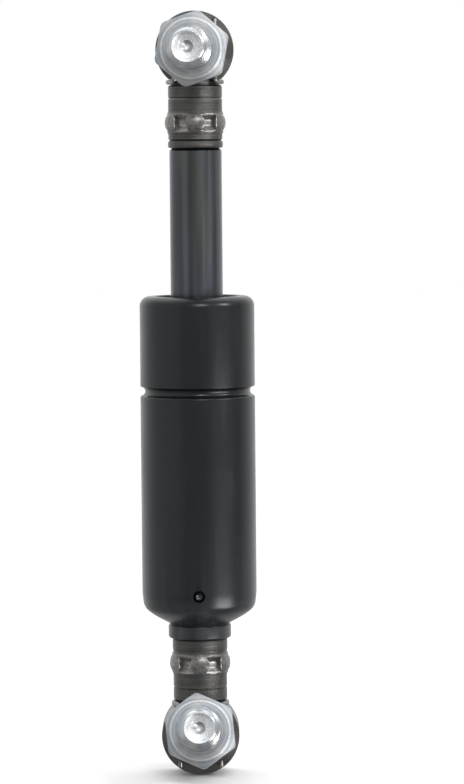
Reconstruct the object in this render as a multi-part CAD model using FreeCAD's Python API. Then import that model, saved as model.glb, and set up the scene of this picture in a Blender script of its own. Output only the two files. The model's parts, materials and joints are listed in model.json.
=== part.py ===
import FreeCAD, Part
import math
import os

V = FreeCAD.Vector

# Gas spring with a crimped ball socket at each end, in millimetres.
# The origin is the centre of the lower ball, +Z runs up the strut to the rod end,
# and both ball studs point to the front, -Y. The rod is fully extended.

# Stroke and the main sections
STROKE = 25.0
ROD_STANDOFF = 3.3
ROD_DIAMETER = 10.0
TUBE_DIAMETER = 22.0
TUBE_WALL = 1.5

# Rolled top rim of the tube
RIM_OPENING = 16.0
RIM_OUTER_ROUND = 1.9
RIM_LIP_ROUND = 0.4

# Rolled groove that carries the guide package
GROOVE_DEPTH = 0.92
GROOVE_HALF_MOUTH = 1.05
GROOVE_HALF_FLOOR = 0.62
GROOVE_EDGE_ROUND = 0.4
GROOVE_FLOOR_ROUND = 0.9
BULGE_ROUND = 1.2

# Coned lower end of the tube, with its fill bore and sealing ball
CONE_RISE_ANGLE = 32.0
CONE_OPENING = 12.0
SHOULDER_ROUND = 2.8
FILL_BORE_DIAMETER = 2.2
FILL_BORE_RISE = 2.95
FILL_BALL_RECESS = 0.25
FILL_TO_STACK = 0.5

# End stud that is welded into the cone
COLLAR_LENGTH = 2.85
COLLAR_ROUND = 0.5
FLANGE_DIAMETER = 16.6
FLANGE_HEIGHT = 0.9

# Spigots that the ball sockets are crimped onto
SPIGOT_DIAMETER = 6.0
SPIGOT_LENGTH = 9.8
SPIGOT_CHAMFER = 0.4
SPIGOT_GROOVE_DEPTH = 0.7
SPIGOT_GROOVE_HEIGHT = 2.8
ROD_TOP_CHAMFER = 0.5

# Piston package, from the rod's shoulder down
STOP_WASHER_HEIGHT = 0.9
PISTON_HEIGHT = 6.0
PISTON_CHAMFER = 0.5
PISTON_PORT_DIAMETER = 1.2
PISTON_PORT_CIRCLE = 11.6
PISTON_PORTS = 3
PISTON_RING_HEIGHT = 2.2
PISTON_RING_DEPTH = 1.3
VALVE_DISC_DIAMETER = 14.0
VALVE_DISC_HEIGHT = 0.6
RIVET_WASHER_DIAMETER = 11.0
RIVET_WASHER_HEIGHT = 1.0
RIVET_HEAD_DIAMETER = 8.2
RIVET_HEAD_HEIGHT = 1.3
REBOUND_GAP = 0.3

# Guide package, from the rolled groove up
SUPPORT_WASHER_HEIGHT = 1.3
SEAL_HEIGHT = 4.5
SEAL_LIP_HEIGHT = 1.6
SEAL_LIP_RELIEF = 0.9
GUIDE_HEIGHT = 7.45
LINER_WALL = 1.0
WIPER_HEIGHT = 1.8
WIPER_WALL = 1.5
COVER_WASHER_HEIGHT = 1.3
O_RING_SECTION = 1.6
O_RING_SQUEEZE = 0.05

# Ball socket
BALL_DIAMETER = 10.0
HEAD_DIAMETER = 14.9
HEAD_FRONT_CHAMFER = 1.7
HEAD_BACK_ROUND = 1.3
HEAD_FRONT_WALL = 0.5
HEAD_BACK_WALL = 1.3
MOUTH_CHAMFER = 0.3
NECK_DIAMETER = 9.3
NECK_HEIGHT = 1.2
NECK_OVERLAP = 0.75
SHANK_DIAMETER = 10.17
SHANK_LENGTH = 11.95
SHANK_CHAMFER = 0.25
TURNED_LINE_FROM_TOP = 2.4
TURNED_LINE_DEPTH = 0.12
END_RING_DIAMETER = 10.4
END_RING_HEIGHT = 1.25
END_GROOVE_DEPTH = 0.28
END_GROOVE_HEIGHT = 0.46

# Six-jaw crimp on the shank
CRIMP_JAWS = 6
CRIMP_FROM_END = 4.8
CRIMP_DEPTH = 0.53
JAW_NOSE_HEIGHT = 1.0
JAW_FLANK_ANGLE = 58.0
JAW_WAIST_WIDTH = 2.2
JAW_WAIST_ROUND = 4.5
JAW_DRAFT_ANGLE = 22.0
CRIMP_HALF_HEIGHT = 2.1
CRIMP_RISE_ANGLE = 34.0
CRIMP_CREST_ROUND = 2.95
CRIMP_FOOT_ROUND = 1.3
NUB_DIAMETER = 2.2

# Safety clip of spring wire
WIRE_DIAMETER = 0.9
CLIP_LEG_HALF_SPAN = 3.9
CLIP_TIP_OUT = 0.45
CLIP_CORNER_ROUND = 0.6
CLIP_SIDE_ROUND = 2.0
CLIP_SIDE_RUN = 1.6

# Ball stud
STUD_NECK_DIAMETER = 5.2
STUD_HEAD_GAP = 2.6
HEX_ACROSS_FLATS = 13.0
HEX_CORNER_ROUND = 0.6
HEX_HEIGHT = 5.0
HEX_FACE_DIAMETER = 12.0
HEX_CHAMFER_ANGLE = 30.0
HEX_BACK_CHAMFER_HEIGHT = 0.4
THREAD_DIAMETER = 8.0
THREAD_LENGTH = 12.5
THREAD_CHAMFER = 1.05
CENTRE_HOLE_DIAMETER = 2.35
CENTRE_HOLE_DEPTH = 1.6

# How the studs lie in their sockets: lean up, lean to the left, turn of the hex
UPPER_STUD_POSE = (0.5, 2.8, 10.7)
LOWER_STUD_POSE = (10.4, 0.2, -5.9)

# Clearances
RUNNING = 0.04
BALL_CLEARANCE = 0.08
SEATED = 0.03
CLEAR = 0.3
CLIP_HOLE_CLEARANCE = 0.06

# Radii and heights that follow from the sizes above
rod_radius = ROD_DIAMETER / 2
tube_radius = TUBE_DIAMETER / 2
bore_radius = tube_radius - TUBE_WALL
spigot_radius = SPIGOT_DIAMETER / 2
ball_radius = BALL_DIAMETER / 2
head_radius = HEAD_DIAMETER / 2
neck_radius = NECK_DIAMETER / 2
shank_radius = SHANK_DIAMETER / 2
wire_radius = WIRE_DIAMETER / 2
fill_radius = FILL_BORE_DIAMETER / 2
cone_slope = math.tan(math.radians(CONE_RISE_ANGLE))
cone_wall_rise = TUBE_WALL / math.cos(math.radians(CONE_RISE_ANGLE))
groove_turn = math.atan2(GROOVE_DEPTH, GROOVE_HALF_MOUTH - GROOVE_HALF_FLOOR)
bulge_widening = TUBE_WALL * math.tan(groove_turn / 2)
bulge_half = GROOVE_HALF_MOUTH + bulge_widening

shank_top = head_radius - NECK_OVERLAP
shank_end = shank_top + SHANK_LENGTH
crimp_height = shank_end - CRIMP_FROM_END
crimp_corner = shank_radius + CRIMP_HALF_HEIGHT * math.tan(math.radians(CRIMP_RISE_ANGLE))

tube_bottom = shank_end + COLLAR_LENGTH
cone_top = tube_bottom + (tube_radius - CONE_OPENING / 2) * cone_slope
fill_height = cone_top + FILL_BORE_RISE
piston_stack = (
    STOP_WASHER_HEIGHT + PISTON_HEIGHT + VALVE_DISC_HEIGHT
    + RIVET_WASHER_HEIGHT + RIVET_HEAD_HEIGHT
)
stack_bottom = fill_height + fill_radius + FILL_TO_STACK + STROKE
rod_shoulder = stack_bottom + piston_stack
groove_height = rod_shoulder + REBOUND_GAP + bulge_half
support_bottom = groove_height + bulge_half + SEATED
seal_bottom = support_bottom + SUPPORT_WASHER_HEIGHT
guide_bottom = seal_bottom + SEAL_HEIGHT
cover_bottom = guide_bottom + GUIDE_HEIGHT
rim_underside = cover_bottom + COVER_WASHER_HEIGHT + SEATED
tube_top = rim_underside + TUBE_WALL
rod_top = tube_top + ROD_STANDOFF + STROKE
upper_ball_height = rod_top + shank_end

# The stop washer clears the bore but not the bulge inside the rolled groove
stop_washer_diameter = 2 * (bore_radius - CLEAR)
piston_top = rod_shoulder - STOP_WASHER_HEIGHT
piston_bottom = piston_top - PISTON_HEIGHT
valve_bottom = piston_bottom - VALVE_DISC_HEIGHT
rivet_washer_bottom = valve_bottom - RIVET_WASHER_HEIGHT
ring_middle = (piston_top + piston_bottom) / 2

# The clip's legs pass the ball in front of its middle
leg_reach = ball_radius + wire_radius + CLEAR
leg_front = math.sqrt(leg_reach ** 2 - CLIP_LEG_HALF_SPAN ** 2)
head_front = leg_front + wire_radius + HEAD_FRONT_WALL
head_back = ball_radius + HEAD_BACK_WALL
clip_height = shank_top - NECK_HEIGHT / 2
stirrup_radius = neck_radius + wire_radius + SEATED

hex_back = head_front + STUD_HEAD_GAP
hex_front = hex_back + HEX_HEIGHT
stud_end = hex_front + THREAD_LENGTH


def rounded_edges(corners, closed):
    """Straight runs joined by tangent arcs. A corner is a point and its radius."""
    count = len(corners)
    bends = []
    for index, (point, radius) in enumerate(corners):
        free_end = not closed and index in (0, count - 1)
        if free_end or radius == 0:
            bends.append((point, None, point))
            continue
        to_last = (corners[index - 1][0] - point).normalize()
        to_next = (corners[(index + 1) % count][0] - point).normalize()
        half_angle = to_last.getAngle(to_next) / 2
        run = radius / math.tan(half_angle)
        inwards = (to_last + to_next).normalize()
        middle = point + inwards * (radius / math.sin(half_angle) - radius)
        bends.append((point + to_last * run, middle, point + to_next * run))
    edges = []
    for index, (entry, middle, leave) in enumerate(bends):
        if middle is not None:
            edges.append(Part.Arc(entry, middle, leave).toShape())
        if closed or index < count - 1:
            following = bends[(index + 1) % count][0]
            edges.append(Part.LineSegment(leave, following).toShape())
    return edges


def turned(outline):
    """A solid turned about Z from a closed outline of (radius, height, corner round)."""
    corners = [(V(radius, 0, height), corner) for radius, height, corner in outline]
    wire = Part.Wire(rounded_edges(corners, True))
    return Part.Face(wire).revolve(V(0, 0, 0), V(0, 0, 1), 360)


def ring(inner, outer, low, high):
    """A plain ring or washer about Z."""
    return turned([(inner, low, 0), (outer, low, 0), (outer, high, 0), (inner, high, 0)])


def about_z(shape, degrees):
    """A copy turned about Z."""
    copy = shape.copy()
    copy.rotate(V(0, 0, 0), V(0, 0, 1), degrees)
    return copy


def spigot_outline(root, tip):
    """Outline points of a grooved spigot, from its root to its tip on the axis."""
    way = math.copysign(1, tip - root)
    crimp = root + way * CRIMP_FROM_END
    near = crimp - way * SPIGOT_GROOVE_HEIGHT / 2
    far = crimp + way * SPIGOT_GROOVE_HEIGHT / 2
    floor = spigot_radius - SPIGOT_GROOVE_DEPTH
    return [
        (spigot_radius, root, 0),
        (spigot_radius, near, 0),
        (floor, near, 0),
        (floor, far, 0),
        (spigot_radius, far, 0),
        (spigot_radius, tip - way * SPIGOT_CHAMFER, 0),
        (spigot_radius - SPIGOT_CHAMFER, tip, 0),
        (0, tip, 0),
    ]


def cylinder_tube():
    """Drawn tube: rolled rim at the top, rolled groove, coned lower end, fill bore."""
    opening = CONE_OPENING / 2
    bulge_floor = GROOVE_HALF_FLOOR + bulge_widening
    inner_cone_top = cone_top + cone_wall_rise - TUBE_WALL * cone_slope
    tube = turned([
        (opening, tube_bottom, 0),
        (tube_radius, cone_top, SHOULDER_ROUND),
        (tube_radius, groove_height - GROOVE_HALF_MOUTH, GROOVE_EDGE_ROUND),
        (tube_radius - GROOVE_DEPTH, groove_height - GROOVE_HALF_FLOOR, GROOVE_FLOOR_ROUND),
        (tube_radius - GROOVE_DEPTH, groove_height + GROOVE_HALF_FLOOR, GROOVE_FLOOR_ROUND),
        (tube_radius, groove_height + GROOVE_HALF_MOUTH, GROOVE_EDGE_ROUND),
        (tube_radius, tube_top, RIM_OUTER_ROUND),
        (RIM_OPENING / 2, tube_top, RIM_LIP_ROUND),
        (RIM_OPENING / 2, rim_underside, 0),
        (bore_radius, rim_underside, 0),
        (bore_radius, groove_height + bulge_half, 0),
        (bore_radius - GROOVE_DEPTH, groove_height + bulge_floor, BULGE_ROUND),
        (bore_radius - GROOVE_DEPTH, groove_height - bulge_floor, BULGE_ROUND),
        (bore_radius, groove_height - bulge_half, 0),
        (bore_radius, inner_cone_top, 0),
        (opening, tube_bottom + cone_wall_rise, 0),
    ])
    fill_bore = Part.makeCylinder(fill_radius, tube_radius, V(0, 0, fill_height), V(0, -1, 0))
    return tube.cut(fill_bore)


def fill_ball():
    """Steel ball pressed into the fill bore."""
    radius = fill_radius - SEATED
    ball = Part.makeSphere(radius)
    ball.translate(V(0, -(tube_radius - FILL_BALL_RECESS - radius), fill_height))
    return ball


def end_stud():
    """Welded end stud: flange inside the cone, collar below it, grooved spigot."""
    collar = CONE_OPENING / 2 - SEATED
    flange = FLANGE_DIAMETER / 2
    seat = tube_bottom + cone_wall_rise + SEATED
    flange_low = seat + (flange - collar) * cone_slope
    outline = [
        (0, flange_low + FLANGE_HEIGHT, 0),
        (flange, flange_low + FLANGE_HEIGHT, 0),
        (flange, flange_low, 0),
        (collar, seat, 0),
        (collar, shank_end, COLLAR_ROUND),
    ]
    return turned(outline + spigot_outline(shank_end, shank_end - SPIGOT_LENGTH))


def piston_rod():
    """Rod: upper spigot, chamfered shoulder, ground shaft, riveted piston spigot."""
    hub = spigot_radius
    head = RIVET_HEAD_DIAMETER / 2
    outline = spigot_outline(rod_top, rod_top + SPIGOT_LENGTH)
    outline += [
        (0, stack_bottom, 0),
        (head, stack_bottom, RIVET_HEAD_HEIGHT / 2),
        (head, rivet_washer_bottom, 0),
        (hub, rivet_washer_bottom, 0),
        (hub, rod_shoulder, 0),
        (rod_radius, rod_shoulder, 0),
        (rod_radius, rod_top - ROD_TOP_CHAMFER, 0),
        (rod_radius - ROD_TOP_CHAMFER, rod_top, 0),
    ]
    return turned(outline)


def piston():
    """Piston with a ring groove, chamfered edges and axial gas ports."""
    hub = spigot_radius + SEATED
    edge = bore_radius - CLEAR
    floor = bore_radius - RUNNING - PISTON_RING_DEPTH - RUNNING
    ring_half = PISTON_RING_HEIGHT / 2 + RUNNING
    body = turned([
        (hub, piston_bottom, 0),
        (edge - PISTON_CHAMFER, piston_bottom, 0),
        (edge, piston_bottom + PISTON_CHAMFER, 0),
        (edge, ring_middle - ring_half, 0),
        (floor, ring_middle - ring_half, 0),
        (floor, ring_middle + ring_half, 0),
        (edge, ring_middle + ring_half, 0),
        (edge, piston_top - PISTON_CHAMFER, 0),
        (edge - PISTON_CHAMFER, piston_top, 0),
        (hub, piston_top, 0),
    ])
    port = Part.makeCylinder(
        PISTON_PORT_DIAMETER / 2, PISTON_HEIGHT, V(PISTON_PORT_CIRCLE / 2, 0, piston_bottom)
    )
    step = 360 / PISTON_PORTS
    return body.cut([about_z(port, index * step) for index in range(PISTON_PORTS)])


def piston_ring():
    """Low-friction ring that runs in the bore."""
    outer = bore_radius - RUNNING
    half = PISTON_RING_HEIGHT / 2
    return ring(outer - PISTON_RING_DEPTH, outer, ring_middle - half, ring_middle + half)


def stack_washer(diameter, low, high):
    """A washer or disc of the piston package, on the rod's lower spigot."""
    return ring(spigot_radius + SEATED, diameter / 2, low, high)


def support_washer():
    """Steel washer on the rolled groove, under the seal."""
    return ring(rod_radius + CLEAR, bore_radius - SEATED, support_bottom, seal_bottom)


def rod_seal():
    """Rubber seal with an inner lip on the rod and a relieved throat below it."""
    lip = rod_radius + RUNNING
    throat = lip + SEAL_LIP_RELIEF
    outer = bore_radius - SEATED
    return turned([
        (throat, seal_bottom, 0),
        (outer, seal_bottom, 0),
        (outer, guide_bottom, 0),
        (lip, guide_bottom, 0),
        (lip, guide_bottom - SEAL_LIP_HEIGHT, 0),
        (throat, guide_bottom - SEAL_LIP_HEIGHT - SEAL_LIP_RELIEF, 0),
    ])


def rod_guide():
    """Guide body: bore for the liner, recess for the wiper, groove for the O-ring."""
    outer = bore_radius - SEATED
    liner_seat = rod_radius + RUNNING + LINER_WALL + SEATED
    wiper_seat = rod_radius + RUNNING + WIPER_WALL + SEATED
    wiper_floor = cover_bottom - WIPER_HEIGHT
    groove_floor = outer - O_RING_SECTION
    groove_low = guide_bottom + GUIDE_HEIGHT / 2 - O_RING_SECTION / 2 - O_RING_SQUEEZE
    groove_high = groove_low + O_RING_SECTION + 2 * O_RING_SQUEEZE
    return turned([
        (liner_seat, guide_bottom, 0),
        (outer, guide_bottom, 0),
        (outer, groove_low, 0),
        (groove_floor, groove_low, 0),
        (groove_floor, groove_high, 0),
        (outer, groove_high, 0),
        (outer, cover_bottom, 0),
        (wiper_seat, cover_bottom, 0),
        (wiper_seat, wiper_floor, 0),
        (liner_seat, wiper_floor, 0),
    ])


def guide_liner():
    """Bearing liner that the rod slides and turns in."""
    inner = rod_radius + RUNNING
    return ring(inner, inner + LINER_WALL, guide_bottom, cover_bottom - WIPER_HEIGHT)


def guide_o_ring():
    """Static O-ring between the guide and the tube."""
    section = O_RING_SECTION / 2 - O_RING_SQUEEZE
    middle = bore_radius - SEATED - O_RING_SECTION / 2
    return Part.makeTorus(middle, section, V(0, 0, guide_bottom + GUIDE_HEIGHT / 2))


def rod_wiper():
    """Wiper in the guide's top recess, with its scraping edge at the top."""
    inner = rod_radius + RUNNING
    outer = inner + WIPER_WALL
    low = cover_bottom - WIPER_HEIGHT
    return turned([
        (inner + WIPER_WALL / 3, low, 0),
        (outer, low, 0),
        (outer, cover_bottom, 0),
        (inner, cover_bottom, 0),
    ])


def cover_washer():
    """Steel washer under the rolled rim, over the guide and the wiper."""
    return ring(
        rod_radius + CLEAR, bore_radius - SEATED, cover_bottom, cover_bottom + COVER_WASHER_HEIGHT
    )


def socket_head():
    """Round socket head about Y, with the turned neck cut in and the ball cavity open to the front."""
    head = turned([
        (0, -head_front, 0),
        (head_radius - HEAD_FRONT_CHAMFER, -head_front, 0),
        (head_radius, HEAD_FRONT_CHAMFER - head_front, 0),
        (head_radius, head_back, HEAD_BACK_ROUND),
        (0, head_back, 0),
    ])
    head.rotate(V(0, 0, 0), V(1, 0, 0), -90)
    neck_space = ring(neck_radius, 2 * head_radius, shank_top - NECK_HEIGHT, 2 * head_radius)
    return head.cut(neck_space)


def socket_shank():
    """Neck and shank about Z: turned line, bulge raised by the crimp, end groove, end ring."""
    end_ring = END_RING_DIAMETER / 2
    ring_low = shank_end - END_RING_HEIGHT
    line = shank_top + TURNED_LINE_FROM_TOP
    bore = spigot_radius + SEATED
    return turned([
        (0, 0, 0),
        (neck_radius, 0, 0),
        (neck_radius, shank_top, 0),
        (shank_radius - SHANK_CHAMFER, shank_top, 0),
        (shank_radius, shank_top + SHANK_CHAMFER, 0),
        (shank_radius, line - TURNED_LINE_DEPTH, 0),
        (shank_radius - TURNED_LINE_DEPTH, line, 0),
        (shank_radius, line + TURNED_LINE_DEPTH, 0),
        (shank_radius, crimp_height - CRIMP_HALF_HEIGHT, CRIMP_FOOT_ROUND),
        (crimp_corner, crimp_height, CRIMP_CREST_ROUND),
        (shank_radius, crimp_height + CRIMP_HALF_HEIGHT, CRIMP_FOOT_ROUND),
        (shank_radius, ring_low - END_GROOVE_HEIGHT, 0),
        (shank_radius - END_GROOVE_DEPTH, ring_low - END_GROOVE_HEIGHT / 2, 0),
        (shank_radius, ring_low, 0),
        (end_ring, ring_low + SHANK_CHAMFER, 0),
        (end_ring, shank_end - SHANK_CHAMFER, 0),
        (end_ring - SHANK_CHAMFER, shank_end, 0),
        (bore, shank_end, 0),
        (bore, shank_end - SPIGOT_LENGTH - CLEAR, 0),
        (0, shank_end - SPIGOT_LENGTH - CLEAR, 0),
    ])


def waisted_section(distance, half_width, half_height):
    """Section of a jaw across the X axis: straight ends, and sides drawn in to a waist."""
    rise = JAW_WAIST_ROUND - math.sqrt(JAW_WAIST_ROUND ** 2 - half_height ** 2)
    wide = half_width + rise
    at = [V(distance, y, z) for y, z in (
        (-wide, -half_height), (wide, -half_height), (wide, half_height), (-wide, half_height)
    )]
    right = Part.Arc(at[1], V(distance, half_width, 0), at[2])
    left = Part.Arc(at[3], V(distance, -half_width, 0), at[0])
    lines = [Part.LineSegment(at[0], at[1]), Part.LineSegment(at[2], at[3])]
    return Part.Wire([edge.toShape() for edge in (lines[0], right, lines[1], left)])


def crimp_jaw():
    """Nose of one jaw, pointing at the axis from +X: waisted in front view, tapered in side view."""
    floor = shank_radius - CRIMP_DEPTH
    back = crimp_corner
    nose = JAW_NOSE_HEIGHT / 2
    mouth = nose + (back - floor) * math.tan(math.radians(JAW_FLANK_ANGLE))
    half_width = JAW_WAIST_WIDTH / 2
    widening = (back - floor) * math.tan(math.radians(JAW_DRAFT_ANGLE))
    sections = [
        waisted_section(floor, half_width, mouth),
        waisted_section(back, half_width + widening, mouth),
    ]
    waisted = Part.makeLoft(sections, True, True)
    side = Part.makePolygon([
        V(floor, -back, -nose),
        V(back, -back, -mouth),
        V(back, -back, mouth),
        V(floor, -back, nose),
        V(floor, -back, -nose),
    ])
    jaw = waisted.common(Part.Face(side).extrude(V(0, 2 * back, 0)))
    jaw.translate(V(0, 0, crimp_height))
    return jaw


def crimped(shank):
    """The shank after the six jaws: pockets in the bulge, lobes left between them, nubs in the bore."""
    step = 360 / CRIMP_JAWS
    nub_tip = spigot_radius - SPIGOT_GROOVE_DEPTH + SEATED
    nub_root = (spigot_radius + shank_radius - CRIMP_DEPTH) / 2
    nub = Part.makeCylinder(
        NUB_DIAMETER / 2, nub_root - nub_tip, V(nub_tip, 0, crimp_height), V(1, 0, 0)
    )
    jaw = crimp_jaw()
    # With the front at -90 degrees, the first lobe faces the front and the jaws lie between lobes
    jaws = [about_z(jaw, step * index) for index in range(CRIMP_JAWS)]
    nubs = [about_z(nub, step * index) for index in range(CRIMP_JAWS)]
    return shank.cut(jaws).fuse(nubs)


def ball_socket():
    """Ball socket with its ball at the origin and its shank up."""
    cavity = ball_radius + BALL_CLEARANCE
    ball_space = Part.makeSphere(cavity)
    mouth = turned([
        (0, 0, 0),
        (cavity, 0, 0),
        (cavity, head_front - MOUTH_CHAMFER, 0),
        (cavity + MOUTH_CHAMFER, head_front, 0),
        (0, head_front, 0),
    ])
    mouth.rotate(V(0, 0, 0), V(1, 0, 0), 90)
    leg_hole = Part.makeCylinder(
        wire_radius + CLIP_HOLE_CLEARANCE, 2 * shank_top, V(0, -leg_front, -shank_top)
    )
    leg_holes = [leg_hole.copy(), leg_hole.copy()]
    leg_holes[0].translate(V(-CLIP_LEG_HALF_SPAN, 0, 0))
    leg_holes[1].translate(V(CLIP_LEG_HALF_SPAN, 0, 0))
    socket = socket_head().fuse(crimped(socket_shank()))
    return socket.cut([ball_space, mouth] + leg_holes).removeSplitter()


def safety_clip():
    """Wire clip: a leg each side of the ball, joined by a stirrup behind the neck."""
    chamfer_at_leg = head_radius - HEAD_FRONT_CHAMFER + head_front - leg_front
    tip = math.sqrt(chamfer_at_leg ** 2 - CLIP_LEG_HALF_SPAN ** 2) + CLIP_TIP_OUT
    half = [
        (V(CLIP_LEG_HALF_SPAN, -leg_front, -tip), 0),
        (V(CLIP_LEG_HALF_SPAN, -leg_front, clip_height), CLIP_CORNER_ROUND),
        (V(stirrup_radius, -CLIP_SIDE_RUN, clip_height), CLIP_SIDE_ROUND),
        (V(stirrup_radius, 0, clip_height), 0),
    ]
    other_half = [(V(-point.x, point.y, point.z), corner) for point, corner in reversed(half)]
    back = Part.Arc(half[-1][0], V(0, stirrup_radius, clip_height), other_half[0][0]).toShape()
    path = Part.Wire(rounded_edges(half, False) + [back] + rounded_edges(other_half, False))
    section = Part.Wire(Part.makeCircle(wire_radius, half[0][0], V(0, 0, 1)))
    return path.makePipeShell([section], True, False)


def ball_stud(pose):
    """Ball stud along -Y from the ball at the origin: ball, neck, hex and threaded end."""
    lean_up, lean_left, hex_turn = pose
    neck = STUD_NECK_DIAMETER / 2
    thread = THREAD_DIAMETER / 2
    ball = Part.makeSphere(ball_radius)
    shaft = turned([
        (0, 0, 0),
        (neck, 0, 0),
        (neck, hex_back + HEX_HEIGHT / 2, 0),
        (thread, hex_back + HEX_HEIGHT / 2, 0),
        (thread, stud_end - THREAD_CHAMFER, 0),
        (thread - THREAD_CHAMFER, stud_end, 0),
        (0, stud_end, 0),
    ])
    corner = HEX_ACROSS_FLATS / 2 / math.cos(math.pi / 6)
    fall = math.tan(math.radians(HEX_CHAMFER_ANGLE))
    face = HEX_FACE_DIAMETER / 2
    corners = [
        V(corner * math.cos(math.radians(angle)), corner * math.sin(math.radians(angle)), hex_back)
        for angle in range(0, 361, 60)
    ]
    prism = Part.Face(Part.makePolygon(corners)).extrude(V(0, 0, HEX_HEIGHT))
    upright = [edge for edge in prism.Edges if edge.BoundBox.ZLength > HEX_HEIGHT / 2]
    prism = prism.makeFillet(HEX_CORNER_ROUND, upright)
    chamfered = turned([
        (0, hex_back, 0),
        (corner - HEX_BACK_CHAMFER_HEIGHT / fall, hex_back, 0),
        (corner, hex_back + HEX_BACK_CHAMFER_HEIGHT, 0),
        (corner, hex_front - (corner - face) * fall, 0),
        (face, hex_front, 0),
        (0, hex_front, 0),
    ])
    hole = CENTRE_HOLE_DIAMETER / 2
    centre_hole = turned([
        (0, stud_end, 0),
        (hole, stud_end, 0),
        (hole, stud_end - CENTRE_HOLE_DEPTH + hole, 0),
        (0, stud_end - CENTRE_HOLE_DEPTH, 0),
    ])
    stud = ball.fuse([shaft, prism.common(chamfered)]).cut(centre_hole).removeSplitter()
    # A corner of the hex starts at the top, then the stud is laid to the front and leaned
    stud.rotate(V(0, 0, 0), V(0, 0, 1), 90 - hex_turn)
    stud.rotate(V(0, 0, 0), V(1, 0, 0), 90)
    stud.rotate(V(0, 0, 0), V(1, 0, 0), -lean_up)
    stud.rotate(V(0, 0, 0), V(0, 0, 1), -lean_left)
    return stud


def at_upper_end(shape):
    """A lower end fitting turned over, with its ball at the upper ball centre."""
    shape.rotate(V(0, 0, 0), V(0, 1, 0), 180)
    return raised(shape)


def raised(shape):
    """A piece made at the lower ball, moved up to the upper ball."""
    shape.translate(V(0, 0, upper_ball_height))
    return shape


NODES = {
    "cylinder_tube": cylinder_tube(),
    "fill_ball": fill_ball(),
    "end_stud": end_stud(),
    "support_washer": support_washer(),
    "rod_seal": rod_seal(),
    "rod_guide": rod_guide(),
    "guide_liner": guide_liner(),
    "guide_o_ring": guide_o_ring(),
    "rod_wiper": rod_wiper(),
    "cover_washer": cover_washer(),
    "lower_ball_socket": ball_socket(),
    "lower_safety_clip": safety_clip(),
    "lower_ball_stud": ball_stud(LOWER_STUD_POSE),
    "piston_rod": piston_rod(),
    "rebound_stop_washer": stack_washer(stop_washer_diameter, piston_top, rod_shoulder),
    "piston": piston(),
    "piston_ring": piston_ring(),
    "valve_disc": stack_washer(VALVE_DISC_DIAMETER, valve_bottom, piston_bottom),
    "rivet_washer": stack_washer(RIVET_WASHER_DIAMETER, rivet_washer_bottom, valve_bottom),
    "upper_ball_socket": at_upper_end(ball_socket()),
    "upper_safety_clip": at_upper_end(safety_clip()),
    "upper_ball_stud": raised(ball_stud(UPPER_STUD_POSE)),
}

os.makedirs("parts", exist_ok=True)
for node, shape in NODES.items():
    shape.exportStep(f"parts/{node}.step")
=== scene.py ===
# %% [markdown]
# A short gas spring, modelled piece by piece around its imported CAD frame.
# The frame fixes the places and the outer sizes, so the first step loads it and keeps its box.
# What is turned, bent or pressed on the real spring is turned, bent or pressed here.

# %% Load the frame
import cmath
import json
import math

import bmesh
import bpy
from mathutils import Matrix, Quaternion, Vector


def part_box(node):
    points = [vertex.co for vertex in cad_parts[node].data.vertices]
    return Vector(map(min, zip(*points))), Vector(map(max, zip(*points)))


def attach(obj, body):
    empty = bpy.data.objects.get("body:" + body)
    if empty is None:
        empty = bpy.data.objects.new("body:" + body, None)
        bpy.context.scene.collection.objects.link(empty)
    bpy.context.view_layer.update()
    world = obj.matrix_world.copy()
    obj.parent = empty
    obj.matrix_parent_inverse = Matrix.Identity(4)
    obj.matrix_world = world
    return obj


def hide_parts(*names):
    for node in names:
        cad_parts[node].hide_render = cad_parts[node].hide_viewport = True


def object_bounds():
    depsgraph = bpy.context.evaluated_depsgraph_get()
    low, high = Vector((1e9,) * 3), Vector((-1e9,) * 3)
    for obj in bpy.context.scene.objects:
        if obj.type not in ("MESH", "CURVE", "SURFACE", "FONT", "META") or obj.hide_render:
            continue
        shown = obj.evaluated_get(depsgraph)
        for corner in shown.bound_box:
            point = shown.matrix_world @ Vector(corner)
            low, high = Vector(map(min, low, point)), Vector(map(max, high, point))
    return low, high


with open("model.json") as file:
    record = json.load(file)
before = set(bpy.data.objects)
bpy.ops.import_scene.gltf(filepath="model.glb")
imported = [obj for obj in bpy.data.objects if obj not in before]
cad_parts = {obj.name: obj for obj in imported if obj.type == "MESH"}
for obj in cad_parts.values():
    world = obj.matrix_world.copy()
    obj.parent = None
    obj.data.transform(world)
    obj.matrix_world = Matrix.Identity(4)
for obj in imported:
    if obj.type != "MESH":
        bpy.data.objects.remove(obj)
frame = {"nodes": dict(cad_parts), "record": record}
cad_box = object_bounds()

record = frame["record"]
body_of_node = {
    node: body for body, nodes in record["behaviour"]["bodies"].items() for node in nodes
}
slot_of_node = {part["node"]: part["material_slot"] for part in record["subparts"]}
mount_at = {mount["name"]: mount for mount in record["mounts"]}

# %% [markdown]
# The pieces are only millimetres across, and several mesh tools work with fixed small
# tolerances. So each piece is made at a bench scale where one unit is a millimetre, and
# it is shrunk to metres as it is handed over. These helpers keep the bench tidy: an
# operator acts on all that is selected, so the bench is cleared before each step. Where
# points or edges are picked by their place, places nearer than NEAR count as one, and points
# nearer than DOUBLED are merged.

# %% The bench
MM = 0.001
NEAR = 0.01
DOUBLED = 0.0001


def clear_bench():
    """Object mode, with nothing selected."""
    if bpy.context.mode != "OBJECT":
        bpy.ops.object.mode_set(mode="OBJECT")
    bpy.ops.object.select_all(action="DESELECT")


def pick_up(piece):
    """Makes this piece the only one selected."""
    clear_bench()
    piece.select_set(True)
    bpy.context.view_layer.objects.active = piece


def open_piece(piece):
    """Edit mode on this piece, with nothing selected in it."""
    pick_up(piece)
    bpy.ops.object.mode_set(mode="EDIT")
    bpy.ops.mesh.select_all(action="DESELECT")


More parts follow.
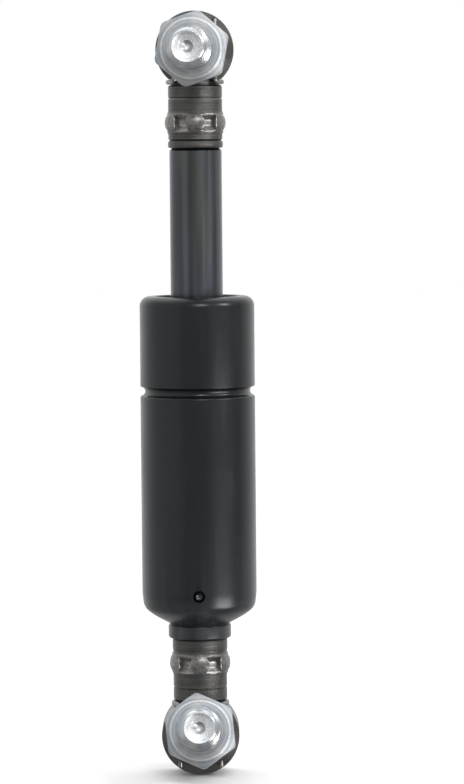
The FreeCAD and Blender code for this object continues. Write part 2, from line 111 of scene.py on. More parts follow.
def pick(piece, kind, wanted):
    """In edit mode, selects the points or edges for which wanted(element) is true."""
    bpy.ops.mesh.select_mode(type=kind)
    mesh = bmesh.from_edit_mesh(piece.data)
    mesh.normal_update()
    for element in {"VERT": mesh.verts, "EDGE": mesh.edges}[kind]:
        element.select = wanted(element)
    mesh.select_flush_mode()
    bmesh.update_edit_mesh(piece.data)


def close_piece():
    """Merges doubled points, turns every face outwards and leaves edit mode."""
    bpy.ops.mesh.select_all(action="SELECT")
    bpy.ops.mesh.remove_doubles(threshold=DOUBLED)
    bpy.ops.mesh.normals_make_consistent(inside=False)
    bpy.ops.object.mode_set(mode="OBJECT")


def clean(piece):
    """Merges a piece's doubled points and turns every face outwards."""
    open_piece(piece)
    close_piece()


def settle(piece):
    """Puts the piece's own place, turn and scale into its mesh."""
    pick_up(piece)
    bpy.ops.object.transform_apply(location=True, rotation=True, scale=True)
    return piece


def box_mm(node):
    """Lowest and highest corner of a CAD node, in millimetres."""
    low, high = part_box(node)
    return low / MM, high / MM


print("bench ready: one unit is", MM, "m")

# %% [markdown]
# Most of this spring comes off a lathe. The turner's drawing of such a piece is half its
# outline, with a radius written at each rounded corner. The helper below draws that
# outline point by point with Extrude, and Spin carries it once round the axis. A stack of
# cylinders would be quicker, but it has no fillets, and fillets are what catch the light.

# %% The lathe
ARC_STEP = math.radians(9)
TURNED_STEPS = 128


def rounded(outline):
    """Points of an outline of (radius, height, corner round), with arcs at its rounded corners."""
    points = []
    for index, (radius, height, corner) in enumerate(outline):
        here = complex(radius, height)
        if not corner:
            points.append(here)
            continue
        back = complex(*outline[index - 1][:2]) - here
        ahead = complex(*outline[index + 1][:2]) - here
        back /= abs(back)
        ahead /= abs(ahead)
        turn = cmath.phase(-ahead / back)
        start = here + back * corner * math.tan(abs(turn) / 2)
        centre = start - back * corner * math.copysign(1, turn) * 1j
        steps = max(2, round(abs(turn) / ARC_STEP))
        points += [
            centre + (start - centre) * cmath.exp(1j * turn * step / steps)
            for step in range(steps + 1)
        ]
    return points


def drawn_line(name, points):
    """A new piece, open in edit mode: a line of points in the XZ plane, as complex numbers."""
    clear_bench()
    bpy.ops.mesh.primitive_plane_add(size=1, enter_editmode=True)
    piece = bpy.context.object
    piece.name = name
    bpy.ops.mesh.select_mode(type="VERT")
    bpy.ops.mesh.merge(type="CENTER")
    bpy.ops.transform.translate(value=(points[0].real, 0, points[0].imag))
    for start, end in zip(points, points[1:]):
        run = end - start
        bpy.ops.mesh.extrude_region_move(
            TRANSFORM_OT_translate={"value": (run.real, 0, run.imag)}
        )
    return piece


def turned(name, outline):
    """A piece spun about Z from an outline that is closed or has its ends on the axis."""
    piece = drawn_line(name, rounded(outline))
    bpy.ops.mesh.select_all(action="SELECT")
    bpy.ops.mesh.spin(steps=TURNED_STEPS, angle=2 * math.pi, center=(0, 0, 0), axis=(0, 0, 1))
    close_piece()
    return piece


def combine(piece, tool, operation):
    """Unites, cuts or intersects a piece with a tool, which is used up."""
    pick_up(piece)
    step = piece.modifiers.new("combine", "BOOLEAN")
    step.operation = operation
    step.object = tool
    step.solver = "EXACT"
    bpy.ops.object.modifier_apply(modifier=step.name)
    pick_up(tool)
    bpy.ops.object.delete()


def copied(piece, name):
    """A copy with a mesh of its own."""
    pick_up(piece)
    bpy.ops.object.duplicate(linked=False)
    copy = bpy.context.object
    copy.name = name
    return copy


print("lathe ready:", TURNED_STEPS, "steps a turn")

# %% [markdown]
# A finish is a recipe of nodes. Written as node calls it is hard to read, so a small class
# wraps a socket: arithmetic on it adds Math nodes, and one method makes any other node.
# All finishes read Object coordinates. Every piece sits at the origin with its place in its
# mesh, so a pattern stays where it is when the piece moves.

# %% Writing a finish
class Shade:
    """One socket in a finish. Arithmetic on it adds Math nodes."""

    def __init__(self, socket):
        self.socket = socket

    def node(self, kind, settings=None, inputs=None, output=0):
        """A new node: its settings first, then the values or links of its sockets."""
        tree = self.socket.id_data
        made = tree.nodes.new(kind)
        for name, value in (settings or {}).items():
            setattr(made, name, value)
        for name, value in (inputs or {}).items():
            if isinstance(value, Shade):
                tree.links.new(value.socket, made.inputs[name])
            else:
                made.inputs[name].default_value = value
        return Shade(made.outputs[output]) if made.outputs else None

    def math(self, operation, first, second=0.0):
        return self.node("ShaderNodeMath", {"operation": operation}, {0: first, 1: second})

    def __add__(self, other):
        return self.math("ADD", self, other)

    __radd__ = __add__

    def __mul__(self, other):
        return self.math("MULTIPLY", self, other)

    __rmul__ = __mul__

    def __sub__(self, other):
        return self.math("SUBTRACT", self, other)

    def __rsub__(self, other):
        return self.math("SUBTRACT", other, self)

    def __pow__(self, other):
        return self.math("POWER", self, other)

    def __abs__(self):
        return self.math("ABSOLUTE", self)

    def step(self, low, high):
        """0 below low, 1 above high, smooth between. With low over high it falls instead."""
        return self.node(
            "ShaderNodeMapRange",
            {"interpolation_type": "SMOOTHSTEP"},
            {"Value": self, "From Min": low, "From Max": high},
        )

    def vector(self, operation, other=(0, 0, 0), output=0):
        """Arithmetic on whole places, with another place or with three numbers."""
        return self.node(
            "ShaderNodeVectorMath", {"operation": operation}, {0: self, 1: other}, output
        )

    def stretched(self, x, y, z):
        """Coordinates scaled along each axis."""
        return self.vector("MULTIPLY", (x, y, z))

    def distance(self, other):
        """Distance of a place from another."""
        return self.vector("DISTANCE", other, 1)

    def noise(self, size, detail=3.0):
        """Noise with grains of about this size, in metres."""
        return self.node(
            "ShaderNodeTexNoise", None, {"Vector": self, "Scale": 1 / size, "Detail": detail}
        )

    def rings(self, size):
        """Uneven bands of about this width, in metres, from one number such as a radius."""
        return self.node(
            "ShaderNodeTexNoise",
            {"noise_dimensions": "1D"},
            {"W": self, "Scale": 1 / size, "Detail": 3.0},
        )

    def along(self, axis):
        """One coordinate of a place: 0, 1 or 2 for X, Y or Z."""
        return self.node("ShaderNodeSeparateXYZ", None, {0: self}, axis)

    def from_axis(self):
        """Distance of a place from the Z axis."""
        x = self.along(0)
        y = self.along(1)
        return (x * x + y * y) ** 0.5

    def mixed(self, below, above):
        """A colour between two others, with this as the share of the second."""
        return self.node(
            "ShaderNodeMix", {"data_type": "RGBA"}, {0: self, 6: below, 7: above}, 2
        )


def colour(red, green, blue):
    return (red, green, blue, 1.0)


def begin_finish(name):
    """A new material and its Object coordinates."""
    material = bpy.data.materials.new(name)
    material.use_nodes = True
    material.node_tree.nodes.clear()
    coordinates = material.node_tree.nodes.new("ShaderNodeTexCoord")
    return material, Shade(coordinates.outputs["Object"])


def end_finish(place, inputs, height, depth):
    """Joins the recipe to its shader, with a bump from a height and its depth in metres."""
    bump = {"Height": height, "Strength": 1.0, "Distance": depth}
    inputs["Normal"] = place.node("ShaderNodeBump", None, bump)
    shader = place.node("ShaderNodeBsdfPrincipled", None, inputs)
    place.node("ShaderNodeOutputMaterial", None, {"Surface": shader})


print("finish tools ready")

# %% [markdown]
# The cylinder is sprayed satin black over steel. Up close such paint is not one black: it
# is a little cloudy, its gloss wanders where hands have been, and it has a fine peel. A
# plain dark colour would look like a hole in the picture, so each of these gets a noise. The
# spun end is made lighter. The tube above it carries upright streaks of painted reflection, and
# the collar below its foot has upright scuffs that also paint in a reflection. On the small ball
# that closes the fill bore, the press has rubbed a bare spot.

# %% Satin black paint
BARE_SPOT_SHIFT = Vector((-0.12, 0.3, -0.2))
ball_low, ball_high = box_mm("fill_ball")
fill_centre = (ball_low + ball_high) / 2
bare_spot = Vector((fill_centre.x, ball_low.y, fill_centre.z)) + BARE_SPOT_SHIFT
tube_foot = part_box("cylinder_tube")[0].z


def satin_black():
    material, place = begin_finish("satin_black_paint")
    bare = place.distance(bare_spot * MM).step(0.00062, 0.00042)
    cloud = place.noise(0.009)
    rubbed = place.stretched(1, 1, 0.12).noise(0.0022).step(0.56, 0.72)
    peel = place.noise(0.0007, 2.0)
    black = (cloud * 0.7 + rubbed * 0.3).mixed(
        colour(0.0012, 0.0035, 0.0055), colour(0.0062, 0.0096, 0.0126)
    )
    upright = place.stretched(1, 1, 0.05)
    above_foot = place.along(2) - tube_foot
    # Painted reflection: upright streaks on the collar and, in the next line, on the lower tube
    # stand in for the studio reflected in the paint; the collar's streaks are scuffs as well.
    scuffs_and_painted_reflection = above_foot.step(0.0001, -0.0003) * upright.noise(0.0032).step(0.38, 0.62)
    painted_reflection_streaks = above_foot.step(0.0245, 0.0065) * upright.noise(0.005).step(0.45, 0.7)
    spun = above_foot.step(0.0059, 0.0037)
    # The painted reflection streaks, the scuffs and the lighter spun end all mix towards one grey.
    black = (scuffs_and_painted_reflection * 0.32 + painted_reflection_streaks * 0.2 + spun * 0.19).mixed(black, colour(0.06, 0.061, 0.064))
    end_finish(
        place,
        {
            "Base Color": bare.mixed(black, colour(0.085, 0.085, 0.083)),
            "Metallic": bare,
            "Roughness": cloud * 0.14 + rubbed * 0.08 + 0.21,
            "Specular IOR Level": 0.42,
        },
        peel,
        0.000006,
    )
    return material


finishes = {"tube_paint": satin_black()}
print("finish:", finishes["tube_paint"].name)

# %% [markdown]
# The rod is nitrided and ground: a dark blue grey metal with a soft sheen. Grinding leaves
# very fine rings round it, and oil leaves long faint streaks, some bluish and some olive. The
# streaks are noise that is stretched along the rod, and the rings are a one-dimensional noise
# of the height.

# %% Nitrided rod steel
def nitrided_steel():
    material, place = begin_finish("nitrided_steel")
    streak = place.stretched(1, 1, 0.04).noise(0.0016)
    tint = place.stretched(1, 1, 0.1).noise(0.004, 1.0).step(0.4, 0.6)
    ground = place.along(2).rings(0.00012)
    dark = tint.mixed(colour(0.066, 0.073, 0.071), colour(0.068, 0.073, 0.082))
    light = tint.mixed(colour(0.112, 0.122, 0.118), colour(0.118, 0.127, 0.145))
    end_finish(
        place,
        {
            "Base Color": streak.step(0.3, 0.7).mixed(dark, light),
            "Metallic": 1.0,
            "Roughness": streak * 0.14 + ground * 0.06 + 0.2,
        },
        ground,
        0.000002,
    )
    return material


finishes["rod_steel"] = nitrided_steel()
print("finish:", finishes["rod_steel"].name)

# %% [markdown]
# The ball sockets are turned from bar and phosphated, which gives a brownish dark grey with
# tool marks under it. The jaws of the crimp rub the grey off the floors of their pockets, which
# lie nearest the axis, and off the lobes, which stand furthest out. The walls between stay
# darker. So wear is read from the distance to the axis, in a band round the crimp, and the rims
# of the pockets carry an attribute of their own: it marks their rubbed bright metal and paints
# in the highlight along them and along the edge of the turned line. Fine tool marks run round
# the shank, and round the ball's axis on the head. Both ends share one finish: the upper socket
# is the lower one turned over, so height is counted from the nearer ball.

# %% Phosphated socket steel
CRIMP_FROM_END = 4.8
WEAR_AND_HIGHLIGHT = "wear"
upper_ball = mount_at["upper_ball"]["pos_m"][2]
socket_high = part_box("lower_ball_socket")[1]
crimp_from_ball = socket_high.z - CRIMP_FROM_END * MM


def phosphated_steel():
    material, place = begin_finish("phosphated_steel")
    height = upper_ball / 2 - abs(place.along(2) - upper_ball / 2)
    radius = place.from_axis()
    from_ball_axis = (place.along(0) ** 2.0 + height ** 2.0) ** 0.5
    on_head = height.step(0.0072, 0.0064)
    turning = on_head * from_ball_axis.rings(0.0001) + (1 - on_head) * height.rings(0.0001)
    marks = height.rings(0.00045)
    blotch = place.noise(0.0021, 5.0)
    fleck = place.noise(0.0006, 3.0)
    band = abs(height - crimp_from_ball).step(0.0023, 0.0013)
    on_floor = radius.step(0.0049, 0.0047)
    on_lobe = radius.step(0.0046, 0.0052)
    # The rim attribute marks rubbed metal on the pocket rims and paints a highlight on them and on
    # the turned line's edge.
    rim = place.node("ShaderNodeAttribute", {"attribute_name": WEAR_AND_HIGHLIGHT}, None, "Fac")
    wear_and_painted_highlight = band * (on_floor + on_lobe) * fleck.step(0.2, 0.6) * 0.6 + rim * 0.32
    grey = (blotch * 0.7 + marks.step(0.3, 0.7) * 0.3).mixed(
        colour(0.040, 0.039, 0.037), colour(0.132, 0.130, 0.126)
    )
    end_finish(
        place,
        {
            "Base Color": wear_and_painted_highlight.mixed(grey, colour(0.34, 0.325, 0.31)),
            "Metallic": 0.9,
            "Roughness": marks * 0.12 + blotch * 0.14 + 0.24 - wear_and_painted_highlight * 0.05,
        },
        turning * (1 - band * 0.8) + marks * 0.3 + fleck * 0.1,
        0.00005,
    )
    return material


finishes["socket_steel"] = phosphated_steel()
print("finish:", finishes["socket_steel"].name)

# %% [markdown]
# The ball studs are bright zinc plated: silver with a cold blue cast and faint warm
# patches. They were turned before plating, so rings run round each stud's own axis, and painted
# shade darkens the centre hole. A Mapping node turns the coordinates to that axis. Distance
# from it tells the parts apart: the bright dished end, the hex face with painted shade round the
# thread's base, a painted highlight on its face line, and its duller chamfer. Each stud leans its
# own way, so each gets its own copy of the finish.

# %% Bright zinc plate
def zinc_plate(mount):
    material, place = begin_finish("zinc_plate_" + mount["name"])
    axis = Vector(mount["axis"])
    turn = axis.to_track_quat("Z", "Y").to_euler()
    along_stud = place.node(
        "ShaderNodeMapping",
        {"vector_type": "TEXTURE"},
        {"Vector": place, "Location": mount["pos_m"], "Rotation": turn},
    )
    radius = along_stud.from_axis()
    wide_rings = radius.rings(0.0011)
    tool_rings = radius.rings(0.00042)
    fine_rings = radius.rings(0.00014)
    patch = place.noise(0.0035, 2.0)
    grain = place.noise(0.0003, 3.0)
    silver = patch.step(0.42, 0.62).mixed(colour(0.40, 0.44, 0.48), colour(0.55, 0.545, 0.535))
    worn = (wide_rings * 0.5 + tool_rings * 0.5).step(0.36, 0.66)
    plate = (worn * 0.75).mixed(silver, colour(0.70, 0.72, 0.74))
    # Painted highlight: a bright ring along the hex's rounded face line.
    edge = radius.step(0.00546, 0.00556) * radius.step(0.00578, 0.00568)
    chamfer = radius.step(0.0057, 0.006)
    plate = (chamfer * 0.3).mixed(plate, colour(0.38, 0.41, 0.44))
    plate = (edge * grain.step(0.3, 0.6)).mixed(plate, colour(0.82, 0.83, 0.84))
    on_hex = radius.step(0.0041, 0.0044)
    # Painted shade: a mottled darker ring on the hex face round the thread's base.
    painted_shade_round_thread = on_hex * radius.step(0.0056, 0.0044) * place.noise(0.0024, 4.0).step(0.25, 0.65)
    plate = (painted_shade_round_thread * 0.55).mixed(plate, colour(0.27, 0.30, 0.33))
    on_end = radius.step(0.00298, 0.00284)
    plate = (on_end * (grain.step(0.3, 0.62) * 0.6 + 0.2)).mixed(plate, colour(0.93, 0.94, 0.95))
    # Painted shade: the wall of the centre hole is darkened, its middle left bright.
    painted_hole_shade = radius.step(0.00125, 0.00105) * radius.step(0.0003, 0.0006)
    roughness = wide_rings * 0.12 + grain * 0.1 + 0.17
    end_finish(
        place,
        {
            "Base Color": (painted_hole_shade * 0.5).mixed(plate, colour(0.10, 0.11, 0.115)),
            "Metallic": 1.0,
            "Roughness": roughness + on_hex * 0.25 + chamfer * 0.08 + on_end * 0.16,
        },
        fine_rings * 0.25 + tool_rings * 0.8 + wide_rings * 0.4 + grain * (on_end * 0.2 + 0.03),
        0.00008,
    )
    return material


zinc = {stud: zinc_plate(mount_at[stud]) for stud in ("lower_stud", "upper_stud")}
print("finishes:", [material.name for material in zinc.values()])

# %% [markdown]
# The rest is plain stuff: drawn wire, pressed washers, rubber, moulded plastic, bronze and
# turned alloy. Most of it is sealed inside and never seen, so one recipe with two colours,
# a grain and a gloss serves them all.

# %% Plain stock
def plain_stock(name, dark, light, grain, metallic, roughness):
    material, place = begin_finish(name)
    mottle = place.noise(grain)
    end_finish(
        place,
        {
            "Base Color": mottle.mixed(dark, light),
            "Metallic": metallic,
            "Roughness": mottle * 0.2 + roughness,
        },
        mottle,
        grain / 100,
    )
    return material


plain_finishes = {
    "spring_wire": (colour(0.11, 0.108, 0.102), colour(0.34, 0.33, 0.315), 0.0009, 1.0, 0.22),
    "plain_steel": (colour(0.05, 0.05, 0.05), colour(0.09, 0.09, 0.09), 0.001, 1.0, 0.35),
    "seal_rubber": (colour(0.008, 0.008, 0.008), colour(0.02, 0.02, 0.02), 0.0008, 0.0, 0.55),
    "guide_plastic": (colour(0.05, 0.05, 0.055), colour(0.08, 0.08, 0.085), 0.001, 0.0, 0.45),
    "ring_plastic": (colour(0.6, 0.59, 0.55), colour(0.75, 0.74, 0.7), 0.001, 0.0, 0.4),
    "liner_bronze": (colour(0.42, 0.27, 0.14), colour(0.6, 0.42, 0.24), 0.0012, 1.0, 0.3),
    "piston_alloy": (colour(0.45, 0.45, 0.46), colour(0.6, 0.6, 0.61), 0.0012, 1.0, 0.35),
}
for slot, recipe in plain_finishes.items():
    finishes[slot] = plain_stock(slot, *recipe)
print("plain finishes:", sorted(plain_finishes))

# %% [markdown]
# A finished piece is shrunk to metres, shaded smooth except at its true edges, given its
# finish, and set to ride on the body that carries the CAD node it stands for.

# %% Handing a piece over
SHARP_ANGLE = math.radians(28)
replaced = set()


def hand_over(piece, node, finish=None):
    """Settles a finished piece in the frame, in place of its CAD node."""
    piece.scale = (MM, MM, MM)
    settle(piece)
    bpy.ops.object.shade_smooth_by_angle(angle=SHARP_ANGLE)
    piece.data.materials.clear()
    piece.data.materials.append(finish or finishes[slot_of_node[node]])
    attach(piece, body_of_node[node])
    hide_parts(node)
    replaced.add(node)
    print(piece.name, "has", len(piece.data.polygons), "faces")


print("edges over", round(math.degrees(SHARP_ANGLE)), "degrees stay sharp")

# %% [markdown]
# The cylinder is one drawn tube. Its top edge is rolled in over the guide, and a groove is
# rolled round it to hold the guide's lower end. The wall keeps its thickness where the groove
# is pressed in, so inside, the ridge is wider than the groove outside.

# %% Set out the groove
TUBE_WALL = 1.5
GROOVE_SEAT = 0.03
GROOVE_DEPTH = 0.92
GROOVE_HALF_MOUTH = 1.05
GROOVE_HALF_FLOOR = 0.62
tube_low, tube_high = box_mm("cylinder_tube")
tube_radius = tube_high.x
bore_radius = tube_radius - TUBE_WALL
groove_turn = math.atan2(GROOVE_DEPTH, GROOVE_HALF_MOUTH - GROOVE_HALF_FLOOR)
widening = TUBE_WALL * math.tan(groove_turn / 2)
groove_height = box_mm("support_washer")[0].z - GROOVE_SEAT - widening - GROOVE_HALF_MOUTH
groove_low = groove_height - GROOVE_HALF_MOUTH
groove_high = groove_height + GROOVE_HALF_MOUTH
floor_low = groove_height - GROOVE_HALF_FLOOR
floor_high = groove_height + GROOVE_HALF_FLOOR
print("groove at", round(groove_height, 2), "mm, its ridge wider by", round(2 * widening, 2), "mm")

# %% [markdown]
# The bottom of the tube is spun in on the end stud, which leaves a slight taper above the
# shoulder and a cone that bulges a little. All of it is round, so it is one outline on the
# lathe, up the outside and down the inside. A point on the straight side, above the fill
# bore, keeps the cut for that bore out of the rest of the side.

# %% Turn the cylinder tube
RIM_OPENING = 8.0
RIM_ROUND = 1.9
RIM_LIP_ROUND = 0.4
GROOVE_EDGE_ROUND = 0.4
GROOVE_FLOOR_ROUND = 0.85
GROOVE_LIP_ROUND = 0.22
GROOVE_LIP_DROP = 0.2
CONE_OPENING = 5.73
CONE_ANGLE = math.radians(32)
BULGE_INSET = 2.05
BULGE_RISE = 1.71
BULGE_ROUND = 11.0
SHOULDER_INSET = 0.33
SHOULDER_RISE = 3.14
SHOULDER_ROUND = 2.6
TAPER_RISE = 5.75
TAPER_ROUND = 12.0
CLEAR_OF_BORE = 10.0

cone_wall = TUBE_WALL / math.cos(CONE_ANGLE)
inner_cone_top = tube_low.z + cone_wall + (bore_radius - CONE_OPENING) * math.tan(CONE_ANGLE)
tube = turned("cylinder_tube_painted", [
    (CONE_OPENING, tube_low.z, 0),
    (tube_radius - BULGE_INSET, tube_low.z + BULGE_RISE, BULGE_ROUND),
    (tube_radius - SHOULDER_INSET, tube_low.z + SHOULDER_RISE, SHOULDER_ROUND),
    (tube_radius, tube_low.z + TAPER_RISE, TAPER_ROUND),
    (tube_radius, tube_low.z + CLEAR_OF_BORE, 0),
    (tube_radius, groove_low, GROOVE_EDGE_ROUND),
    (tube_radius - GROOVE_DEPTH, floor_low, GROOVE_FLOOR_ROUND),
    (tube_radius - GROOVE_DEPTH, floor_high, GROOVE_FLOOR_ROUND),
    (tube_radius, groove_high - GROOVE_LIP_DROP, GROOVE_LIP_ROUND),
    (tube_radius, tube_high.z, RIM_ROUND),
    (RIM_OPENING, tube_high.z, RIM_LIP_ROUND),
    (RIM_OPENING, tube_high.z - TUBE_WALL, 0),
    (bore_radius, tube_high.z - TUBE_WALL, 0),
    (bore_radius, groove_high + widening, 0),
    (bore_radius - GROOVE_DEPTH, floor_high + widening, GROOVE_FLOOR_ROUND),
    (bore_radius - GROOVE_DEPTH, floor_low - widening, GROOVE_FLOOR_ROUND),
    (bore_radius, groove_low - widening, 0),
    (bore_radius, inner_cone_top, 0),
    (CONE_OPENING, tube_low.z + cone_wall, 0),
    (CONE_OPENING, tube_low.z, 0),
])
print("tube outline turned:", len(tube.data.vertices), "points")

# %% [markdown]
# Gas goes in through a small bore in the front of the shoulder, and a ball closes it. The
# drill is turned too, with a rounded shoulder that breaks the lip of the bore, because the
# paint rounds it over. It is laid along Y, with its tip well inside the bore of the tube, and
# cut from the wall.

# %% Drill the fill bore
FILL_LIP = 0.3
FILL_CLEARANCE = 0.03
LIP_STAND_OFF = 0.02
fill_ball_radius = (ball_high.x - ball_low.x) / 2
drill_radius = fill_ball_radius + FILL_CLEARANCE
drill_tip = TUBE_WALL - bore_radius
drill_face = -tube_radius - LIP_STAND_OFF


def laid_down(piece, height=0):
    """Lays a piece that was turned about Z along Y, with its top to the back, at a height."""
    piece.rotation_euler = (-math.pi / 2, 0, 0)
    piece.location = (0, 0, height)
    return settle(piece)


drill = laid_down(turned("fill_drill", [
    (0, -2 * tube_radius, 0),
    (2 * drill_radius, -2 * tube_radius, 0),
    (2 * drill_radius, drill_face, 0),
    (drill_radius, drill_face, FILL_LIP),
    (drill_radius, drill_tip, 0),
    (0, drill_tip, 0),
]), fill_centre.z)
combine(tube, drill, "DIFFERENCE")
clean(tube)
hand_over(tube, "cylinder_tube")

# %% [markdown]
# The sealing ball is pressed in just below the surface. The press flattens its face and
# leaves a dimple, so a sphere is bisected near its front and filled, and a smaller sphere is
# cut from the flat.

# %% Press in the fill ball
PRESS_FLAT = 0.12
DIMPLE_RADIUS = 0.85
DIMPLE_DEPTH = 0.22


def sphere(radius, centre):
    """A plain sphere, with its place in its mesh."""
    clear_bench()
    bpy.ops.mesh.primitive_uv_sphere_add(
        segments=48, ring_count=24, radius=radius, location=centre
    )
    return settle(bpy.context.object)


pressed_face = ball_low.y + PRESS_FLAT
fill_ball = sphere(fill_ball_radius, fill_centre)
fill_ball.name = "fill_ball_pressed"
open_piece(fill_ball)
bpy.ops.mesh.select_all(action="SELECT")
bpy.ops.mesh.bisect(
    plane_co=(0, pressed_face, fill_centre.z), plane_no=(0, 1, 0),
    use_fill=True, clear_inner=True,
)
close_piece()
dimple_centre = (0, pressed_face + DIMPLE_DEPTH - DIMPLE_RADIUS, fill_centre.z)
combine(fill_ball, sphere(DIMPLE_RADIUS, dimple_centre), "DIFFERENCE")
hand_over(fill_ball, "fill_ball")

# %% [markdown]
# The end stud closes the coned end from inside. Only its collar shows, black like the
# tube, with a soft lower edge. Its spigot runs down into the lower socket, with the groove
# that the crimp bites into, so it is turned whole, as the real one is.

# %% Turn the end stud
COLLAR_RADIUS = 6.02
COLLAR_ROUND = 0.5
COLLAR_GAP = 0.06
COLLAR_TOP_ROUND = 0.35
COLLAR_NECK = 5.7
FLANGE_HEIGHT = 0.9
SPIGOT_RADIUS = 3.0
SPIGOT_CHAMFER = 0.4
SPIGOT_GROOVE_DEPTH = 0.7
SPIGOT_GROOVE_HALF = 1.4


def spigot(root, tip):
    """Outline points of a grooved spigot, from its root to its tip on the axis."""
    way = math.copysign(1, tip - root)
    groove = root + way * CRIMP_FROM_END
    floor = SPIGOT_RADIUS - SPIGOT_GROOVE_DEPTH
    return [
        (SPIGOT_RADIUS, root, 0),
        (SPIGOT_RADIUS, groove - way * SPIGOT_GROOVE_HALF, 0),
        (floor, groove - way * SPIGOT_GROOVE_HALF, 0),
        (floor, groove + way * SPIGOT_GROOVE_HALF, 0),
        (SPIGOT_RADIUS, groove + way * SPIGOT_GROOVE_HALF, 0),
        (SPIGOT_RADIUS, tip - way * SPIGOT_CHAMFER, 0),
        (SPIGOT_RADIUS - SPIGOT_CHAMFER, tip, 0),
        (0, tip, 0),
    ]


stud_low, stud_high = box_mm("end_stud")
shank_end = socket_high.z / MM
flange_radius = stud_high.x
flange_low = stud_high.z - FLANGE_HEIGHT
flange_seat = flange_low - (flange_radius - COLLAR_NECK) * math.tan(CONE_ANGLE)
collar_top = tube_low.z - COLLAR_GAP
end_stud = turned("end_stud_painted", [
    (0, stud_high.z, 0),
    (flange_radius, stud_high.z, 0),
    (flange_radius, flange_low, 0),
    (COLLAR_NECK, flange_seat, 0),
    (COLLAR_NECK, collar_top, 0),
    (COLLAR_RADIUS, collar_top - COLLAR_TOP_ROUND, COLLAR_TOP_ROUND),
    (COLLAR_RADIUS, shank_end, COLLAR_ROUND),
] + spigot(shank_end, stud_low.z))
hand_over(end_stud, "end_stud")

# %% [markdown]
# The rod is ground straight and chamfered at its top shoulder. Below, inside the cylinder,
# it steps down to the spigot that carries the piston and ends in a riveted head.

# %% Turn the piston rod
ROD_CHAMFER = 0.5
RIVET_RADIUS = 4.1
RIVET_HEIGHT = 1.3
rod_low, rod_high = box_mm("piston_rod")
rod_radius = rod_high.x
rod_top = upper_ball / MM - shank_end
rod_shoulder = box_mm("rebound_stop_washer")[1].z
rod = turned("piston_rod_ground", [(0, rod_high.z, 0)] + spigot(rod_top, rod_high.z)[-2::-1] + [
    (rod_radius - ROD_CHAMFER, rod_top, 0),
    (rod_radius, rod_top - ROD_CHAMFER, 0),
    (rod_radius, rod_shoulder, 0),
    (SPIGOT_RADIUS, rod_shoulder, 0),
    (SPIGOT_RADIUS, rod_low.z + RIVET_HEIGHT, 0),
    (RIVET_RADIUS, rod_low.z + RIVET_HEIGHT, 0),
    (RIVET_RADIUS, rod_low.z, RIVET_HEIGHT / 2),
    (0, rod_low.z, 0),
])
hand_over(rod, "piston_rod")

# %% [markdown]
# A ball socket is turned twice from one bar: its round head about the ball's axis, its neck
# and shank about the strut's axis. The two are turned here in the same way and united. The
# neck is a ring cut out of the head, with the room that the clip's wire lies in.

# %% Turn the socket's head
HEAD_FRONT_WALL = 0.5
HEAD_FRONT_CHAMFER = 1.7
HEAD_BACK_ROUND = 1.3
HEAD_EDGE_ROUND = 0.2
NECK_RADIUS = 4.65
NECK_HEIGHT = 1.2
NECK_OVERLAP = 0.75

clip_low, clip_high = box_mm("lower_safety_clip")
head_radius = socket_high.x / MM
head_back = socket_high.y / MM
head_front = HEAD_FRONT_WALL - clip_low.y
shank_top = head_radius - NECK_OVERLAP
neck_low = shank_top - NECK_HEIGHT

lower_socket = laid_down(turned("lower_ball_socket_crimped", [
    (0, -head_front, 0),
    (head_radius - HEAD_FRONT_CHAMFER, -head_front, HEAD_EDGE_ROUND),
    (head_radius, HEAD_FRONT_CHAMFER - head_front, HEAD_EDGE_ROUND),
    (head_radius, head_back, HEAD_BACK_ROUND),
    (0, head_back, 0),
]))
neck_room = turned("neck_room", [
    (NECK_RADIUS, neck_low, 0),
    (2 * head_radius, neck_low, 0),
    (2 * head_radius, 2 * head_radius, 0),
    (NECK_RADIUS, 2 * head_radius, 0),
    (NECK_RADIUS, neck_low, 0),
])
combine(lower_socket, neck_room, "DIFFERENCE")
print("head turned:", len(lower_socket.data.polygons), "faces")

# %% [markdown]
# The shank carries a fine turned line, an end groove and an end ring. Where the six jaws
# squeeze it, the metal between them swells out, so the outline has a barrel there, and the
# jaws' pockets are cut from it afterwards.

# %% Turn the neck and shank
SHANK_RADIUS = 5.16
SHANK_CHAMFER = 0.25
LINE_FROM_TOP = 2.4
LINE_DEPTH = 0.16
LINE_RAMP = 0.3
LINE_EDGE = 0.06
END_RING_RADIUS = 5.25
END_RING_HEIGHT = 1.25
END_GROOVE_DEPTH = 0.28
END_GROOVE_HEIGHT = 0.46
BARREL_HALF_HEIGHT = 2.1
BARREL_ANGLE = math.radians(34)
BARREL_CREST_ROUND = 2.95
BARREL_FOOT_ROUND = 1.3
SOCKET_BORE = 3.03
BORE_DEPTH = 10.1

